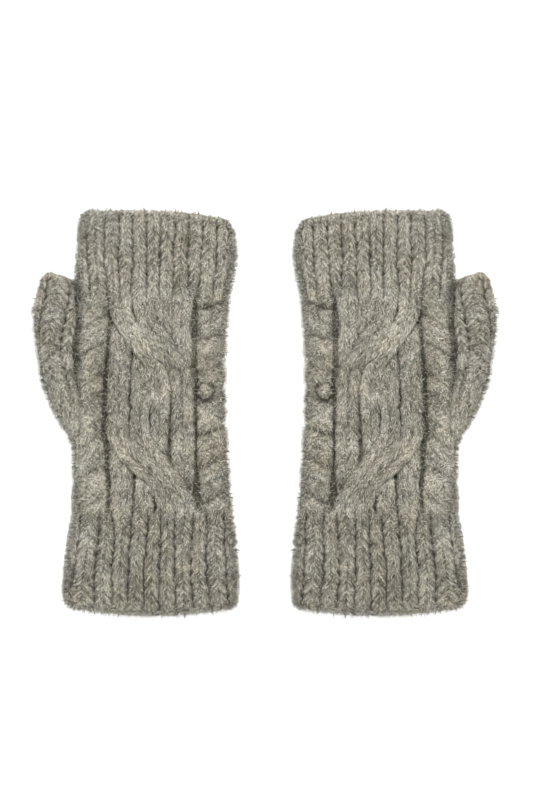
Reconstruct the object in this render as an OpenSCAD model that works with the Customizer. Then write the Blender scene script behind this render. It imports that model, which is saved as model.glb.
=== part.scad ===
// A pair of cable-knit fingerless gloves lying flat, palms down, side by side.
// Millimetres. +Z is up, +Y runs from the wrist to the fingers, and the origin
// is at the middle of the pair, on the surface that it lies on.
// Every outline is a table of [y, thumb side x, little-finger side x] taken
// about one glove's own centre line, and the right glove mirrors the left one.

/* [Glove] */
// Length of one glove from the cast-on edge to the finger bind-off edge
glove_len = 224.4; // [205:0.2:245]
// Width of the hand part at its narrowest, with the glove laid flat
palm_w = 82; // [74:0.5:90]
// Distance between the centre lines of the two gloves
pair_pitch = 124; // [118:0.5:150]

/* [Fabric] */
// Thickness of the knitted fabric
wall = 4; // [3:0.1:4.5]
// Height left open inside the flattened glove for a hand
room = 6; // [5:0.1:9]
// How far a rounded fold reaches in from the side of the glove
fold_w = 6.5; // [6:0.1:8]

/* [Knit relief] */
// Height of each rib over the groove beside it
rib_h = 1.2; // [0.6:0.1:1.6]
// Number of ribs across the back of the cuff and of the finger rib
rib_count = 10; // [8:1:12]
// Height of the cable columns over the panel
column_h = 2; // [1:0.1:2.4]
// Height of the crossing bundles over the panel
cross_h = 2.8; // [1.4:0.1:3.2]
// Number of crossings along each rope cable
rope_turns = 7; // [5:1:9]

/* [Joints] */
// Gap between two bodies where the glove bends
joint_gap = 0.3; // [0.2:0.05:0.6]

/* [Hidden] */

kx = palm_w / 82;
ky = glove_len / 224.4;
thick = 2 * wall + room;
arc_n = 5;
grey = [0.56, 0.55, 0.50];
grey_dark = [0.47, 0.46, 0.42];
grey_light = [0.64, 0.62, 0.56];

// Hand tube without the thumb: [y, thumb side x, little-finger side x]
hand = [
  [-112.2, -48, 46.4], [-105, -48.8, 46.8], [-94, -48.4, 46.8], [-83, -47.4, 46.2],
  [-72, -46.2, 45.4], [-61.5, -44.6, 44.6], [-50, -43.8, 43.4], [-39, -43.5, 42.6],
  [-28, -43.3, 41.6], [-17, -43.6, 40.8], [-6, -43.4, 40], [5, -43.2, 39.6],
  [16, -42.6, 39.2], [22, -41.8, 39.4], [38, -40.9, 40], [49, -40.3, 40.6],
  [60, -40.3, 41.6], [70, -40.9, 43.4], [81, -41.6, 45.2], [92, -41.4, 46.2],
  [103, -40.2, 45.4], [112.2, -37.4, 41.6]
];
// Outer edge of the gusset that widens from the hand to the thumb: [y, x]
gusset = [[-17, -44.4], [-6, -51.4], [5, -57], [16, -61.2], [22, -62.6]];
// Thumb sleeve: [y, outer x, hand side x]
thumb = [
  [22, -62.8, -42.4], [30, -63.7, -41.9], [38, -64.6, -41.5], [49, -65.9, -40.9],
  [60, -66.4, -40.9], [68, -64.8, -41.3], [74, -61.6, -41.8]
];

y_wrist = -61.5;
y_knuckle = 70;
y_gusset = -17;
y_thumb = 22;

function at(t, y, c) = y <= t[0][0] ? t[0][c]
  : y >= t[len(t) - 1][0] ? t[len(t) - 1][c]
  : lookup(y, [for (r = t) [r[0], r[c]]]);
function xl(y) = kx * at(hand, y, 1);
function xr(y) = kx * at(hand, y, 2);
function xg(y) = kx * at(gusset, y, 1);
function seam_x(y) = xl(y) + fold_w;
function ys_between(t, a, b) = concat([a], [for (r = t) if (r[0] > a + 0.5 && r[0] < b - 0.5) r[0]], [b]);

// Half of a rounded fold, from the lower face to the upper one. s is the side.
function fold(x, s, out, k) = let (
    a = out ? fold_w : fold_w - wall,
    h = out ? thick / 2 : room / 2,
    cx = x + s * fold_w, t = -90 + 180 * k / arc_n)
  [cx - s * a * cos(t), thick / 2 + h * sin(t)];

// Loop of a closed tube: up the first side, across the top with ribs, down the
// other side, and back along the flat lower face. k_top is the rib segments.
function tube_loop(a, b, out, k_top, h) = concat(
  [for (k = [0:arc_n]) fold(a, 1, out, k)],
  [for (i = [1:k_top - 1]) let (u = i / k_top)
    [a + fold_w + (b - a - 2 * fold_w) * u,
     thick / 2 + (out ? thick / 2 + h * (i % 2) : room / 2)]],
  [for (k = [arc_n:-1:0]) fold(b, -1, out, k)]);

// Path of the back panel's section, open below. left is false beside the gusset.
function back_path(y, out, left) = concat(
  left ? [for (k = [0:arc_n]) fold(xl(y), 1, out, k)]
       : [[seam_x(y), thick / 2 + (out ? thick / 2 : room / 2)]],
  [for (k = [arc_n:-1:0]) fold(xr(y), -1, out, k)]);

// Path of the gusset's section, open towards the palm
function gusset_path(y, out) = let (
    a = out ? fold_w : fold_w - wall, h = out ? thick / 2 : room / 2, x0 = xg(y) + fold_w)
  concat([[seam_x(y), thick / 2 - h]],
    [for (k = [0:arc_n]) let (t = -90 + 180 * k / arc_n) [x0 - a * cos(t), thick / 2 + h * sin(t)]],
    [[seam_x(y), thick / 2 + h]]);

// Solid between an outer and an inner skin. Each skin is a list of stations,
// and each station a list of points. round says that the stations are loops.
module shell(outer, inner, round) {
  s = len(outer);
  m = len(outer[0]);
  n = s * m;
  function o(i, j) = i * m + j % m;
  function q(i, j) = n + i * m + j % m;
  function quad(a, b, c, d) = [[a, b, c], [a, c, d]];
  jm = round ? m - 1 : m - 2;
  polyhedron(
    points = [for (r = outer) each r, for (r = inner) each r],
    faces = [
      for (i = [0:s - 2], j = [0:jm]) each quad(o(i, j), o(i, j + 1), o(i + 1, j + 1), o(i + 1, j)),
      for (i = [0:s - 2], j = [0:jm]) each quad(q(i, j), q(i + 1, j), q(i + 1, j + 1), q(i, j + 1)),
      for (j = [0:jm]) each quad(o(0, j), q(0, j), q(0, j + 1), o(0, j + 1)),
      for (j = [0:jm]) each quad(o(s - 1, j), o(s - 1, j + 1), q(s - 1, j + 1), q(s - 1, j)),
      if (!round) for (i = [0:s - 2]) each quad(o(i, 0), o(i + 1, 0), q(i + 1, 0), q(i, 0)),
      if (!round) for (i = [0:s - 2]) each quad(o(i, m - 1), q(i, m - 1), q(i + 1, m - 1), o(i + 1, m - 1))
    ],
    convexity = 8);
}

// Edge curves of the cuff and of the finger rib, as a y for each x
function low_edge(x) = -112.2 * ky + 5 * pow(x / (47 * kx), 2);
function high_edge(x) = 112.2 * ky - (x > 0 ? 5.5 : 1.2) * pow(x / (46 * kx), 2);
function thumb_edge(x) = let (u = (x / kx + 56) / 14)
  77.5 * ky - (u > 0 ? 4.6 * u : 3.6 * u * u * 2);

function mix(a, b, t) = a + (b - a) * t;

// ---- cuff -------------------------------------------------------------
cuff_band = 3;
module wrist_rib() {
  yt = y_wrist * ky;
  st = [for (t = [0:0.25:1]) t];
  function ring(t, out) = let (ym = mix(yt, -109.2 * ky, t),
      lp = tube_loop(kx * at(hand, ym / ky, 1), kx * at(hand, ym / ky, 2), out, 2 * rib_count, rib_h))
    [for (p = lp) [p[0], mix(yt, low_edge(p[0]) + cuff_band, t), p[1]]];
  shell([for (t = st) ring(t, true)], [for (t = st) ring(t, false)], true);
}
module cast_on_edge() {
  st = [0, 0.6, 1];
  function ring(t, out) = let (d = out ? [0, 0.1, 1.3][round(t * 1.7)] : 0,
      lp = tube_loop(kx * at(hand, -109.2, 1) + d, kx * at(hand, -109.2, 2) - d, out, 2 * rib_count, rib_h * (1 - t)))
    [for (p = lp) [p[0], low_edge(p[0]) + cuff_band * (1 - t), p[1] < thick / 2 ? p[1] : p[1] - d]];
  shell([for (t = st) ring(t, true)], [for (t = st) ring(t, false)], true);
}

// ---- hand ---------------------------------------------------------------
module back_stretch(a, b, left) {
  list = ys_between(hand, a, b);
  function ring(y, out) = [for (p = back_path(y, out, left)) [p[0], y * ky, p[1]]];
  shell([for (y = list) ring(y, true)], [for (y = list) ring(y, false)], false);
}
module back_panel() {
  back_stretch(y_wrist + joint_gap, y_gusset, true);
  back_stretch(y_gusset, y_thumb, false);
  back_stretch(y_thumb, y_knuckle - joint_gap, true);
}
module palm_panel() {
  list = ys_between(hand, y_wrist + joint_gap, y_knuckle - joint_gap);
  linear_extrude(height = wall)
    polygon(concat([for (y = list) [seam_x(y), y * ky]],
                   [for (i = [len(list) - 1:-1:0]) [xr(list[i]) - fold_w, list[i] * ky]]));
}
module thumb_gusset() {
  list = ys_between(gusset, y_gusset, y_thumb);
  function ring(y, out) = [for (p = gusset_path(y, out)) [p[0], y * ky, p[1]]];
  shell([for (y = list) ring(y, true)], [for (y = list) ring(y, false)], false);
}

// ---- finger rib -----------------------------------------------------------
finger_band = 2.6;
module finger_rib() {
  yb = y_knuckle * ky;
  st = [0, 0.26, 0.52, 0.78, 1];
  function ring(t, out) = let (ym = mix(y_knuckle, 109.4, t),
      lp = tube_loop(kx * at(hand, ym, 1), kx * at(hand, ym, 2), out, 2 * rib_count, rib_h))
    [for (p = lp) [p[0], mix(yb, high_edge(p[0]) - finger_band, t), p[1]]];
  shell([for (t = st) ring(t, true)], [for (t = st) ring(t, false)], true);
}
module bind_off_edge() {
  st = [0, 0.6, 1];
  function ring(t, out) = let (d = out ? [0, 0.1, 1.3][round(t * 1.7)] : 0,
      lp = tube_loop(kx * at(hand, 109.4, 1) + d, kx * at(hand, 109.4, 2) - d, out, 2 * rib_count, rib_h * (1 - t)))
    [for (p = lp) [p[0], high_edge(p[0]) - finger_band * (1 - t), p[1] < thick / 2 ? p[1] : p[1] - d]];
  shell([for (t = st) ring(t, true)], [for (t = st) ring(t, false)], true);
}

// ---- thumb ----------------------------------------------------------------
thumb_band = 2.4;
module thumb_sleeve() {
  y0 = y_thumb + joint_gap;
  st = [0, 0.2, 0.4, 0.62, 0.84, 1];
  function ring(t, out) = let (ym = mix(y0, 73.5, t),
      lp = tube_loop(kx * at(thumb, ym, 1), kx * at(thumb, ym, 2), out, 6, rib_h))
    [for (p = lp) [p[0], mix(y0 * ky, thumb_edge(p[0]) - thumb_band, t), p[1]]];
  shell([for (t = st) ring(t, true)], [for (t = st) ring(t, false)], true);
}
module thumb_bind_off() {
  st = [0, 0.6, 1];
  function ring(t, out) = let (d = out ? [0, 0.1, 1.2][round(t * 1.7)] : 0,
      lp = tube_loop(kx * at(thumb, 73.5, 1) + d, kx * at(thumb, 73.5, 2) - d, out, 6, rib_h * (1 - t)))
    [for (p = lp) [p[0], thumb_edge(p[0]) - thumb_band * (1 - t), p[1] < thick / 2 ? p[1] : p[1] - d]];
  shell([for (t = st) ring(t, true)], [for (t = st) ring(t, false)], true);
}

// ---- cables -----------------------------------------------------------------
// A strip of a width along a line of points
module strip(line, w) {
  for (i = [0:len(line) - 2]) {
    a = line[i]; b = line[i + 1];
    d = (b - a) / norm(b - a);
    s = [-d[1], d[0]] * w / 2;
    polygon([a + s, a - s, b - s, b + s]);
  }
  for (i = [1:len(line) - 2]) translate(line[i]) circle(d = w * 0.98, $fn = 12);
}
// Two steps, so that a bundle's shoulders are lower than its middle
module bundle(line, w, h) {
  translate([0, 0, thick]) linear_extrude(height = h * 0.6) strip(line, w);
  translate([0, 0, thick + h * 0.6]) linear_extrude(height = h * 0.4) strip(line, w * 0.6);
}
column_x = [-17.5, -6, 5.6, 16.4];
column_w = [10.4, 9.2, 8.4, 9.8];
module centre_cable() {
  scale([1, 1, 1]) {
    for (i = [0:3]) bundle([[column_x[i] * kx, -59.6 * ky], [column_x[i] * kx, 67 * ky]], column_w[i] * kx, column_h);
    bundle([[-17.5 * kx, 60 * ky], [-15 * kx, 52 * ky], [10.5 * kx, 27 * ky], [16.4 * kx, 18 * ky]], 10 * kx, cross_h);
    bundle([[-6 * kx, 64 * ky], [-2 * kx, 52 * ky], [14 * kx, 34 * ky], [16.4 * kx, 28 * ky]], 7 * kx, cross_h);
    bundle([[-17.5 * kx, -4 * ky], [-15 * kx, -12 * ky], [11 * kx, -41 * ky], [16.4 * kx, -52 * ky]], 10 * kx, cross_h);
    bundle([[-6 * kx, -4 * ky], [-2 * kx, -14 * ky], [14 * kx, -34 * ky], [16.4 * kx, -42 * ky]], 7 * kx, cross_h);
  }
}
// A rope cable: slanting lobes, each lying over the end of the next
module rope(x, w, lean) {
  pitch = 124 * ky / rope_turns;
  translate([0, 0, thick]) linear_extrude(height = column_h * 0.7)
    translate([x - w / 2, -59 * ky]) square([w, 126 * ky]);
  translate([0, 0, thick + column_h * 0.7]) linear_extrude(height = column_h * 0.5)
    for (i = [0:rope_turns - 1])
      translate([x, -58.5 * ky + pitch * (i + 0.5)])
        polygon([for (t = [0:30:330]) let (u = 0.46 * w * cos(t), v = 0.44 * pitch * sin(t)) [u, v + lean * u]]);
}
module thumb_side_rope() { rope(-30.6 * kx, 10.6 * kx, 0.8); }
module little_side_rope() { rope(28.4 * kx, 7.6 * kx, 0.5); }

// ---- seams, on the inside of the palm -----------------------------------------
module seam_line(a, b, side) {
  list = ys_between(hand, a, b);
  translate([0, 0, wall]) linear_extrude(height = 0.8)
    polygon(concat(
      [for (y = list) [(side < 0 ? seam_x(y) : xr(y) - fold_w) - side * 0.4, y * ky]],
      [for (i = [len(list) - 1:-1:0]) [(side < 0 ? seam_x(list[i]) : xr(list[i]) - fold_w) - side * 2.4, list[i] * ky]]));
}
module thumb_side_seam() { seam_line(y_wrist + 1, y_knuckle - 1, -1); }
module little_side_seam() { seam_line(y_wrist + 1, y_knuckle - 1, 1); }
module thumb_join_seam() {
  x0 = xg(19) + fold_w + 0.6; x1 = seam_x(20) - 1;
  translate([x0, 18.4 * ky, wall]) linear_extrude(height = 0.8) square([x1 - x0, 2.2 * ky]);
}

// ---- the two gloves -------------------------------------------------------------
module piece(name) {
  if (name == "wrist_rib") color(grey) wrist_rib();
  if (name == "cast_on_edge") color(grey_light) cast_on_edge();
  if (name == "back_panel") color(grey_dark) back_panel();
  if (name == "palm_panel") color(grey_dark) palm_panel();
  if (name == "thumb_gusset") color(grey) thumb_gusset();
  if (name == "finger_rib") color(grey) finger_rib();
  if (name == "bind_off_edge") color(grey_light) bind_off_edge();
  if (name == "thumb_sleeve") color(grey) thumb_sleeve();
  if (name == "thumb_bind_off") color(grey_light) thumb_bind_off();
  if (name == "centre_cable") color(grey_light) centre_cable();
  if (name == "thumb_side_rope") color(grey_light) thumb_side_rope();
  if (name == "little_side_rope") color(grey_light) little_side_rope();
  if (name == "thumb_side_seam") color(grey_dark) thumb_side_seam();
  if (name == "little_side_seam") color(grey_dark) little_side_seam();
  if (name == "thumb_join_seam") color(grey_dark) thumb_join_seam();
}
module left(name) { translate([-pair_pitch / 2, 0, 0]) piece(name); }
module right(name) { mirror([1, 0, 0]) left(name); }

left("wrist_rib");  // left_wrist_rib
left("cast_on_edge");  // left_cast_on_edge
left("back_panel");  // left_back_panel
left("palm_panel");  // left_palm_panel
left("thumb_gusset");  // left_thumb_gusset
left("finger_rib");  // left_finger_rib
left("bind_off_edge");  // left_bind_off_edge
left("thumb_sleeve");  // left_thumb_sleeve
left("thumb_bind_off");  // left_thumb_bind_off
left("centre_cable");  // left_centre_cable
left("thumb_side_rope");  // left_thumb_side_rope
left("little_side_rope");  // left_little_side_rope
left("thumb_side_seam");  // left_thumb_side_seam
left("little_side_seam");  // left_little_side_seam
left("thumb_join_seam");  // left_thumb_join_seam
right("wrist_rib");  // right_wrist_rib
right("cast_on_edge");  // right_cast_on_edge
right("back_panel");  // right_back_panel
right("palm_panel");  // right_palm_panel
right("thumb_gusset");  // right_thumb_gusset
right("finger_rib");  // right_finger_rib
right("bind_off_edge");  // right_bind_off_edge
right("thumb_sleeve");  // right_thumb_sleeve
right("thumb_bind_off");  // right_thumb_bind_off
right("centre_cable");  // right_centre_cable
right("thumb_side_rope");  // right_thumb_side_rope
right("little_side_rope");  // right_little_side_rope
right("thumb_side_seam");  // right_thumb_side_seam
right("little_side_seam");  // right_little_side_seam
right("thumb_join_seam");  // right_thumb_join_seam
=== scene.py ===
import math

import bpy
import numpy as np
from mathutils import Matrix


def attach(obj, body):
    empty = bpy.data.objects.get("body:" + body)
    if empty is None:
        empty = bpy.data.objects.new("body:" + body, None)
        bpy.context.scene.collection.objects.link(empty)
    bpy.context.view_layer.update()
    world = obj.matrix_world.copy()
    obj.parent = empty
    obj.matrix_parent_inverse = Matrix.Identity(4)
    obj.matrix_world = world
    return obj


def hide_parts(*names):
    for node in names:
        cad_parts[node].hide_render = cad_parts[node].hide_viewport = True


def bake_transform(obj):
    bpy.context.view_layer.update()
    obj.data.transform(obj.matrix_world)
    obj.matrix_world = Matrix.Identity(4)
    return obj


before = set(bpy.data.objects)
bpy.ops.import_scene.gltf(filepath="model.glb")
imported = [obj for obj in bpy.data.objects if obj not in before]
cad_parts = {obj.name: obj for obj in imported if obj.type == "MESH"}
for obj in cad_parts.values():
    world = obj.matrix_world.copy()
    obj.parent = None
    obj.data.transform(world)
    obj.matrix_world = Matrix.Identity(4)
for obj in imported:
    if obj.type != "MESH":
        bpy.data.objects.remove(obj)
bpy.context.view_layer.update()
SCENE = bpy.context.scene

# ---------------------------------------------------------------------------------------------
# Layout. All lengths are millimetres in one glove's own frame (x from its centre line, palm on z = 0);
# the right glove is the left one mirrored. Knit paths are drawn on a grid of G mm.
# ---------------------------------------------------------------------------------------------
G = 0.55
PAIR = 62.0
FOLD = 6.5
HALF = 7.0
ARC = math.pi * math.sqrt((FOLD * FOLD + HALF * HALF) / 2)
SINK = 1.5
Y_WRIST, Y_KNUCKLE, Y_THUMB = -61.35, 69.85, 22.15


def gx(v):
    return (np.asarray(v, float) - 152.3) * G


def gy(v):
    return (413.5 - np.asarray(v, float)) * G


HAND = np.array([
    [-114, -47.8, 46.3], [-112.2, -48, 46.4], [-105, -48.8, 46.8], [-94, -48.4, 46.8], [-83, -47.4, 46.2], [-72, -46.2, 45.4],
    [-61.5, -44.6, 44.6], [-50, -43.8, 43.4], [-39, -43.5, 42.6], [-28, -43.3, 41.6], [-17, -43.6, 40.8],
    [-6, -43.4, 40], [5, -43.2, 39.6], [16, -42.6, 39.2], [22, -41.8, 39.4], [38, -40.9, 40],
    [49, -40.3, 40.6], [60, -40.3, 41.6], [70, -40.9, 43.4], [81, -41.6, 45.2], [92, -41.4, 46.2],
    [103, -40.9, 45.7], [108.5, -40.2, 44.9], [112.2, -38.6, 43.0], [114, -37.6, 41.6]])
# thumb tube, gusset included: y, outer x, hand-side x
TUBE = np.array([
    [-30, -42.2, -33], [-22, -43.2, -33], [-17, -44.6, -33.5], [-6, -51.2, -34.5], [5, -57, -36], [12, -59.8, -38.2], [16, -61.2, -40],
    [22, -62.6, -41.5], [30, -63.7, -41.2], [38, -64.6, -40.8], [49, -65.9, -40.2], [60, -66.4, -40.4],
    [68, -65.2, -41.4], [74, -63.4, -41.9], [79, -61.6, -42.6]])


def smooth_interp(y, ys, vs):
    """Piecewise cubic through the points, no overshoot to speak of."""
    ys = np.asarray(ys, float)
    vs = np.asarray(vs, float)
    m = np.gradient(vs, ys)
    y = np.clip(y, ys[0], ys[-1])
    i = np.clip(np.searchsorted(ys, y) - 1, 0, len(ys) - 2)
    h = ys[i + 1] - ys[i]
    t = (y - ys[i]) / h
    t2, t3 = t * t, t * t * t
    return ((2 * t3 - 3 * t2 + 1) * vs[i] + (t3 - 2 * t2 + t) * h * m[i]
            + (-2 * t3 + 3 * t2) * vs[i + 1] + (t3 - t2) * h * m[i + 1])


def hand_edges(y):
    return smooth_interp(y, HAND[:, 0], HAND[:, 1]), smooth_interp(y, HAND[:, 0], HAND[:, 2])


def tube_edges(y):
    return smooth_interp(y, TUBE[:, 0], TUBE[:, 1]), smooth_interp(y, TUBE[:, 0], TUBE[:, 2])


def sstep(a, b, v):
    t = np.clip((v - a) / (b - a), 0, 1)
    return t * t * (3 - 2 * t)


# ---------------------------------------------------------------------------------------------
# Seeded smooth noise, -1..1
# ---------------------------------------------------------------------------------------------
_TAB = np.random.default_rng(77).uniform(-1, 1, (8, 128, 128))


def noise2(x, y, scale, seed=0):
    tab = _TAB[seed % 8]
    x = np.asarray(x, float) / scale + 31.7 * seed + 50
    y = np.asarray(y, float) / scale + 17.3 * seed + 50
    ix, iy = np.floor(x).astype(int), np.floor(y).astype(int)
    fx, fy = x - ix, y - iy
    fx, fy = fx * fx * (3 - 2 * fx), fy * fy * (3 - 2 * fy)
    a = tab[ix % 128, iy % 128]
    b = tab[(ix + 1) % 128, iy % 128]
    c = tab[ix % 128, (iy + 1) % 128]
    d = tab[(ix + 1) % 128, (iy + 1) % 128]
    return (a * (1 - fx) + b * fx) * (1 - fy) + (c * (1 - fx) + d * fx) * fy


# ---------------------------------------------------------------------------------------------
# The flattened tube. u is the distance round it, equal to x on the flat top; it runs on round both
# folds and along the underside.
# ---------------------------------------------------------------------------------------------
def fold_of(xl, xr):
    return np.minimum(FOLD, (xr - xl) * 0.499)


def loop_ends(xl, xr):
    a = fold_of(xl, xr)
    flat = (xr - xl) - 2 * a
    return xl + a - ARC - flat / 2, xr - a + ARC + flat / 2


def loop_point(u, xl, xr):
    """x, z, outward normal (x, z) and the share of 'underside' from 0 on top to 1 below."""
    a = fold_of(xl, xr)
    lo, hi = xl + a, xr - a
    x = np.array(np.clip(u, lo, hi), float)
    z = np.full_like(x, 2 * HALF)
    nx, nz = np.zeros_like(x), np.ones_like(x)
    for side in (-1, 1):
        s = (u - hi) if side > 0 else (lo - u)
        th = np.clip(s, 0, ARC) / ARC * np.pi
        on = s > 0
        cx = np.where(side > 0, hi, lo)
        px = cx + side * a * np.sin(th) - side * np.clip(s - ARC, 0, None)
        pz = HALF + HALF * np.cos(th)
        x = np.where(on, px, x)
        z = np.where(on, pz, z)
        nx = np.where(on, side * np.sin(th), nx)
        nz = np.where(on, np.cos(th), nz)
    mid, hw = (lo + hi) / 2, (xr - xl) / 2
    crown = 0.9 * np.clip(1 - ((x - mid) / hw) ** 2, 0, 1)
    z = z + crown * sstep(-0.2, 1.0, nz)
    under = sstep(0.1, -0.95, nz)
    return x, z, nx, nz, under


def x_to_u(x, xl, xr):
    """A place seen from above, as a distance round the tube."""
    a = fold_of(xl, xr)
    lo, hi = xl + a, xr - a
    th_r = np.arcsin(np.clip((x - hi) / a, 0, 1))
    th_l = np.arcsin(np.clip((lo - x) / a, 0, 1))
    return np.where(x > hi, hi + th_r / np.pi * ARC, np.where(x < lo, lo - th_l / np.pi * ARC, x))


# ---------------------------------------------------------------------------------------------
# Knit relief. Every field returns the height above the purl ground, the yarn direction (du, dy), how
# much the place is 'raised' (0 in a groove, 1 on a stitch) and the fine streak along the yarn.
# A low 'raised' share also darkens the colour: a painted shade in the grooves and creases.
# ---------------------------------------------------------------------------------------------
def streak_of(ph, row, off, ac, width, c):
    return noise2(ph * row / 0.80, ac * width / 2.4 + 9 * off + 3 * (c > 0), 1.0, 2)


def stitches(c, s, width, row, off, tilt=1.7):
    """One column of knit stitches: c across from -0.5 to 0.5, s along in mm, apex of each stitch up."""
    ac = np.abs(c)
    ph = s / row + tilt * ac + off
    leg = np.abs(np.sin(np.pi * ph)) ** 0.6
    edge = np.clip(2 * ac * (1.0 + 0.07 * np.cos(2 * np.pi * ph) + 0.05 * streak_of(ph, row, off, ac, width, c)), 0, 1)
    col = np.clip(1 - edge ** 3.2, 0, 1) ** 0.5
    lobe = np.sqrt(np.clip(1 - ((ac - 0.25) / 0.27) ** 2, 0, 1))
    streak = streak_of(ph, row, off, ac, width, c)
    h = 0.70 * col + 0.30 * lobe * (0.3 + 0.7 * leg) * np.sqrt(col)
    h = h - 0.12 * np.exp(-(c / 0.05) ** 2) * col + 0.07 * streak * col
    # 'raised' is lower at the column's edges and along the dip between its two legs, which darkens the colour there: a
    # painted shade
    up = np.clip(col * (0.58 + 0.42 * leg) - 0.25 * np.exp(-(c / 0.06) ** 2), 0, 1)
    return h, np.where(c < 0, -1.0, 1.0), tilt * row / np.maximum(width, 1e-3), up, streak


def aim(sgn, slope, ax, ay, dx, dy):
    """Leg direction from the across axis (ax, ay) and the downward axis (dx, dy)."""
    vx, vy = sgn * ax + slope * dx, sgn * ay + slope * dy
    ln = np.hypot(vx, vy) + 1e-9
    return vx / ln, vy / ln


def rib_field(u, y, xl, xr, grooves, total, row, seed, tall=2.9):
    """1x1 rib; grooves is (rows of [y, x0, x1 ...]) as seen from above, more ribs follow round the underside."""
    ys = grooves[:, 0]
    cols = [x_to_u(smooth_interp(y, ys, grooves[:, k]), xl, xr) for k in range(1, grooves.shape[1])]
    cols = [c + 0.40 * noise2(y, np.full_like(y, 9.0 * k), 8.0, seed + 1) + 0.30 * noise2(y, np.full_like(y, 5.0 * k), 2.4, seed + 3) for k, c in enumerate(cols)]
    cols = np.array(cols)
    k = len(cols)
    ul, ur = loop_ends(xl, xr)
    pe = ((cols[0] - ul) + (ur - cols[-1])) / (total - (k - 1))
    phi = np.where(u < cols[0], (u - cols[0]) / pe, (k - 1) + (u - cols[-1]) / pe)
    width = np.array(pe, float)
    for i in range(k - 1):
        on = (u >= cols[i]) & (u < cols[i + 1])
        w = np.maximum(cols[i + 1] - cols[i], 0.5)
        phi = np.where(on, i + (u - cols[i]) / w, phi)
        width = np.where(on, w, width)
    idx = np.floor(phi)
    c = phi - idx - 0.5
    ci = (idx.astype(int) % total)
    off = np.random.default_rng(seed).uniform(0, 1, total)[ci]
    yy = y + 0.5 * noise2(u, y, 11, seed + 2)
    h, sgn, slope, up, streak = stitches(c, yy, width, row, off)
    vary = 1 + 0.12 * noise2(ci * 7.0, y, 9, seed + 3) + 0.08 * noise2(u, y, 3.2, seed + 4)
    bridge = np.clip(1.6 * noise2(u, y, 2.9, seed + 5) - 0.1, 0, 1)          # matted hair across the groove
    h = np.maximum(h, 0.08 + 0.42 * bridge)
    up = np.maximum(up, 0.50 * bridge)
    dx, dy = aim(sgn, slope, 1.0, 0.0, 0.0, -1.0)
    return tall * h * vary, dx, dy, up, streak


def grid_rows(rows):
    a = np.array(rows, float)
    out = np.column_stack([gy(a[:, 0])] + [gx(a[:, i]) for i in range(1, a.shape[1])])
    return out[np.argsort(out[:, 0])]


FINGER_GROOVES = grid_rows([
    [205, 88, 105, 119, 133, 146, 160.5, 174, 189, 203, 217, 229],
    [225, 87, 105, 119.5, 133, 146.5, 161, 175, 189, 203, 217, 230],
    [245, 87, 105, 119, 133, 147, 160, 174, 188, 202, 217, 231],
    [265, 87.5, 105, 119, 133, 146.5, 160, 174, 188, 200.5, 215.5, 229],
    [283, 90, 107, 119.5, 131.5, 147, 159.5, 173.5, 189, 199, 214, 226],
    [306, 91, 108, 120.5, 132, 147, 161, 172, 193, 197.5, 213, 225]])
WRIST_GROOVES = grid_rows([
    [505, 80, 100, 110, 133, 149, 160, 174, 194, 206, 223],
    [537, 79, 99, 115, 131, 147, 161, 175, 192, 207, 225],
    [552, 77, 97, 114, 129, 146, 160, 175, 191, 206, 225],
    [567, 75, 95, 112, 129, 144, 159, 175, 191, 207, 226],
    [582, 72, 94, 112, 129, 144, 159, 174.5, 191, 207, 227],
    [598, 70, 95, 112, 128, 144, 159, 176, 193, 209, 228],
    [622, 68, 95, 112, 128, 144, 159, 176, 194, 210, 229]])
THUMB_GROOVES = grid_rows([
    [268, 51, 71], [290, 45.5, 69], [310, 41, 66], [320, 39.5, 64.5], [335, 38.5, 62.5], [350, 38, 62],
    [365, 39.5, 64.5], [375, 41, 67], [385, 43.5, 69], [395, 47, 72], [420, 58, 80], [450, 70, 88], [470, 76, 92]])


def finger_field(u, y, xl, xr):
    return rib_field(u, y, xl, xr, FINGER_GROOVES, 24, 5.8, 11, 2.45)


def wrist_field(u, y, xl, xr):
    return rib_field(u, y, xl, xr, WRIST_GROOVES, 24, 6.9, 23, 3.0)


def mix_fields(f, g, t):
    """f where t is 0, g where t is 1; directions switch half way."""
    on = t > 0.5
    return (f[0] * (1 - t) + g[0] * t, np.where(on, g[1], f[1]), np.where(on, g[2], f[2]),
            f[3] * (1 - t) + g[3] * t, np.where(on, g[4], f[4]))


def thumb_field(u, y, xl, xr):
    f = rib_field(u, y, xl, xr, THUMB_GROOVES, 8, 5.6, 37, 2.4)
    g = plain_field(u, y, 5.0, 5.2, 41)
    g = (g[0] + 1.1 + 0.5 * noise2(u, y, 7, 1),) + g[1:]
    return mix_fields(f, g, 1 - sstep(2, 24, y + 5 * noise2(u, y, 9, 4)))      # the ribs flatten into the gusset


def plain_field(u, y, width, row, seed):
    """Stocking stitch: columns side by side without purl grooves."""
    q = (u + 0.5 * noise2(u, y, 9, seed)) / width
    idx = np.floor(q)
    c = q - idx - 0.5
    off = np.random.default_rng(seed).uniform(0, 0.4, 97)[idx.astype(int) % 97]
    h, sgn, slope, up, streak = stitches(c, y, np.full_like(u, width), row, off)
    h = h * (1 + 0.15 * noise2(u, y, 6, seed + 1))
    dx, dy = aim(sgn, slope, 1.0, 0.0, 0.0, -1.0)
    return 1.15 * h, dx, dy, 0.35 + 0.65 * up, streak


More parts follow.
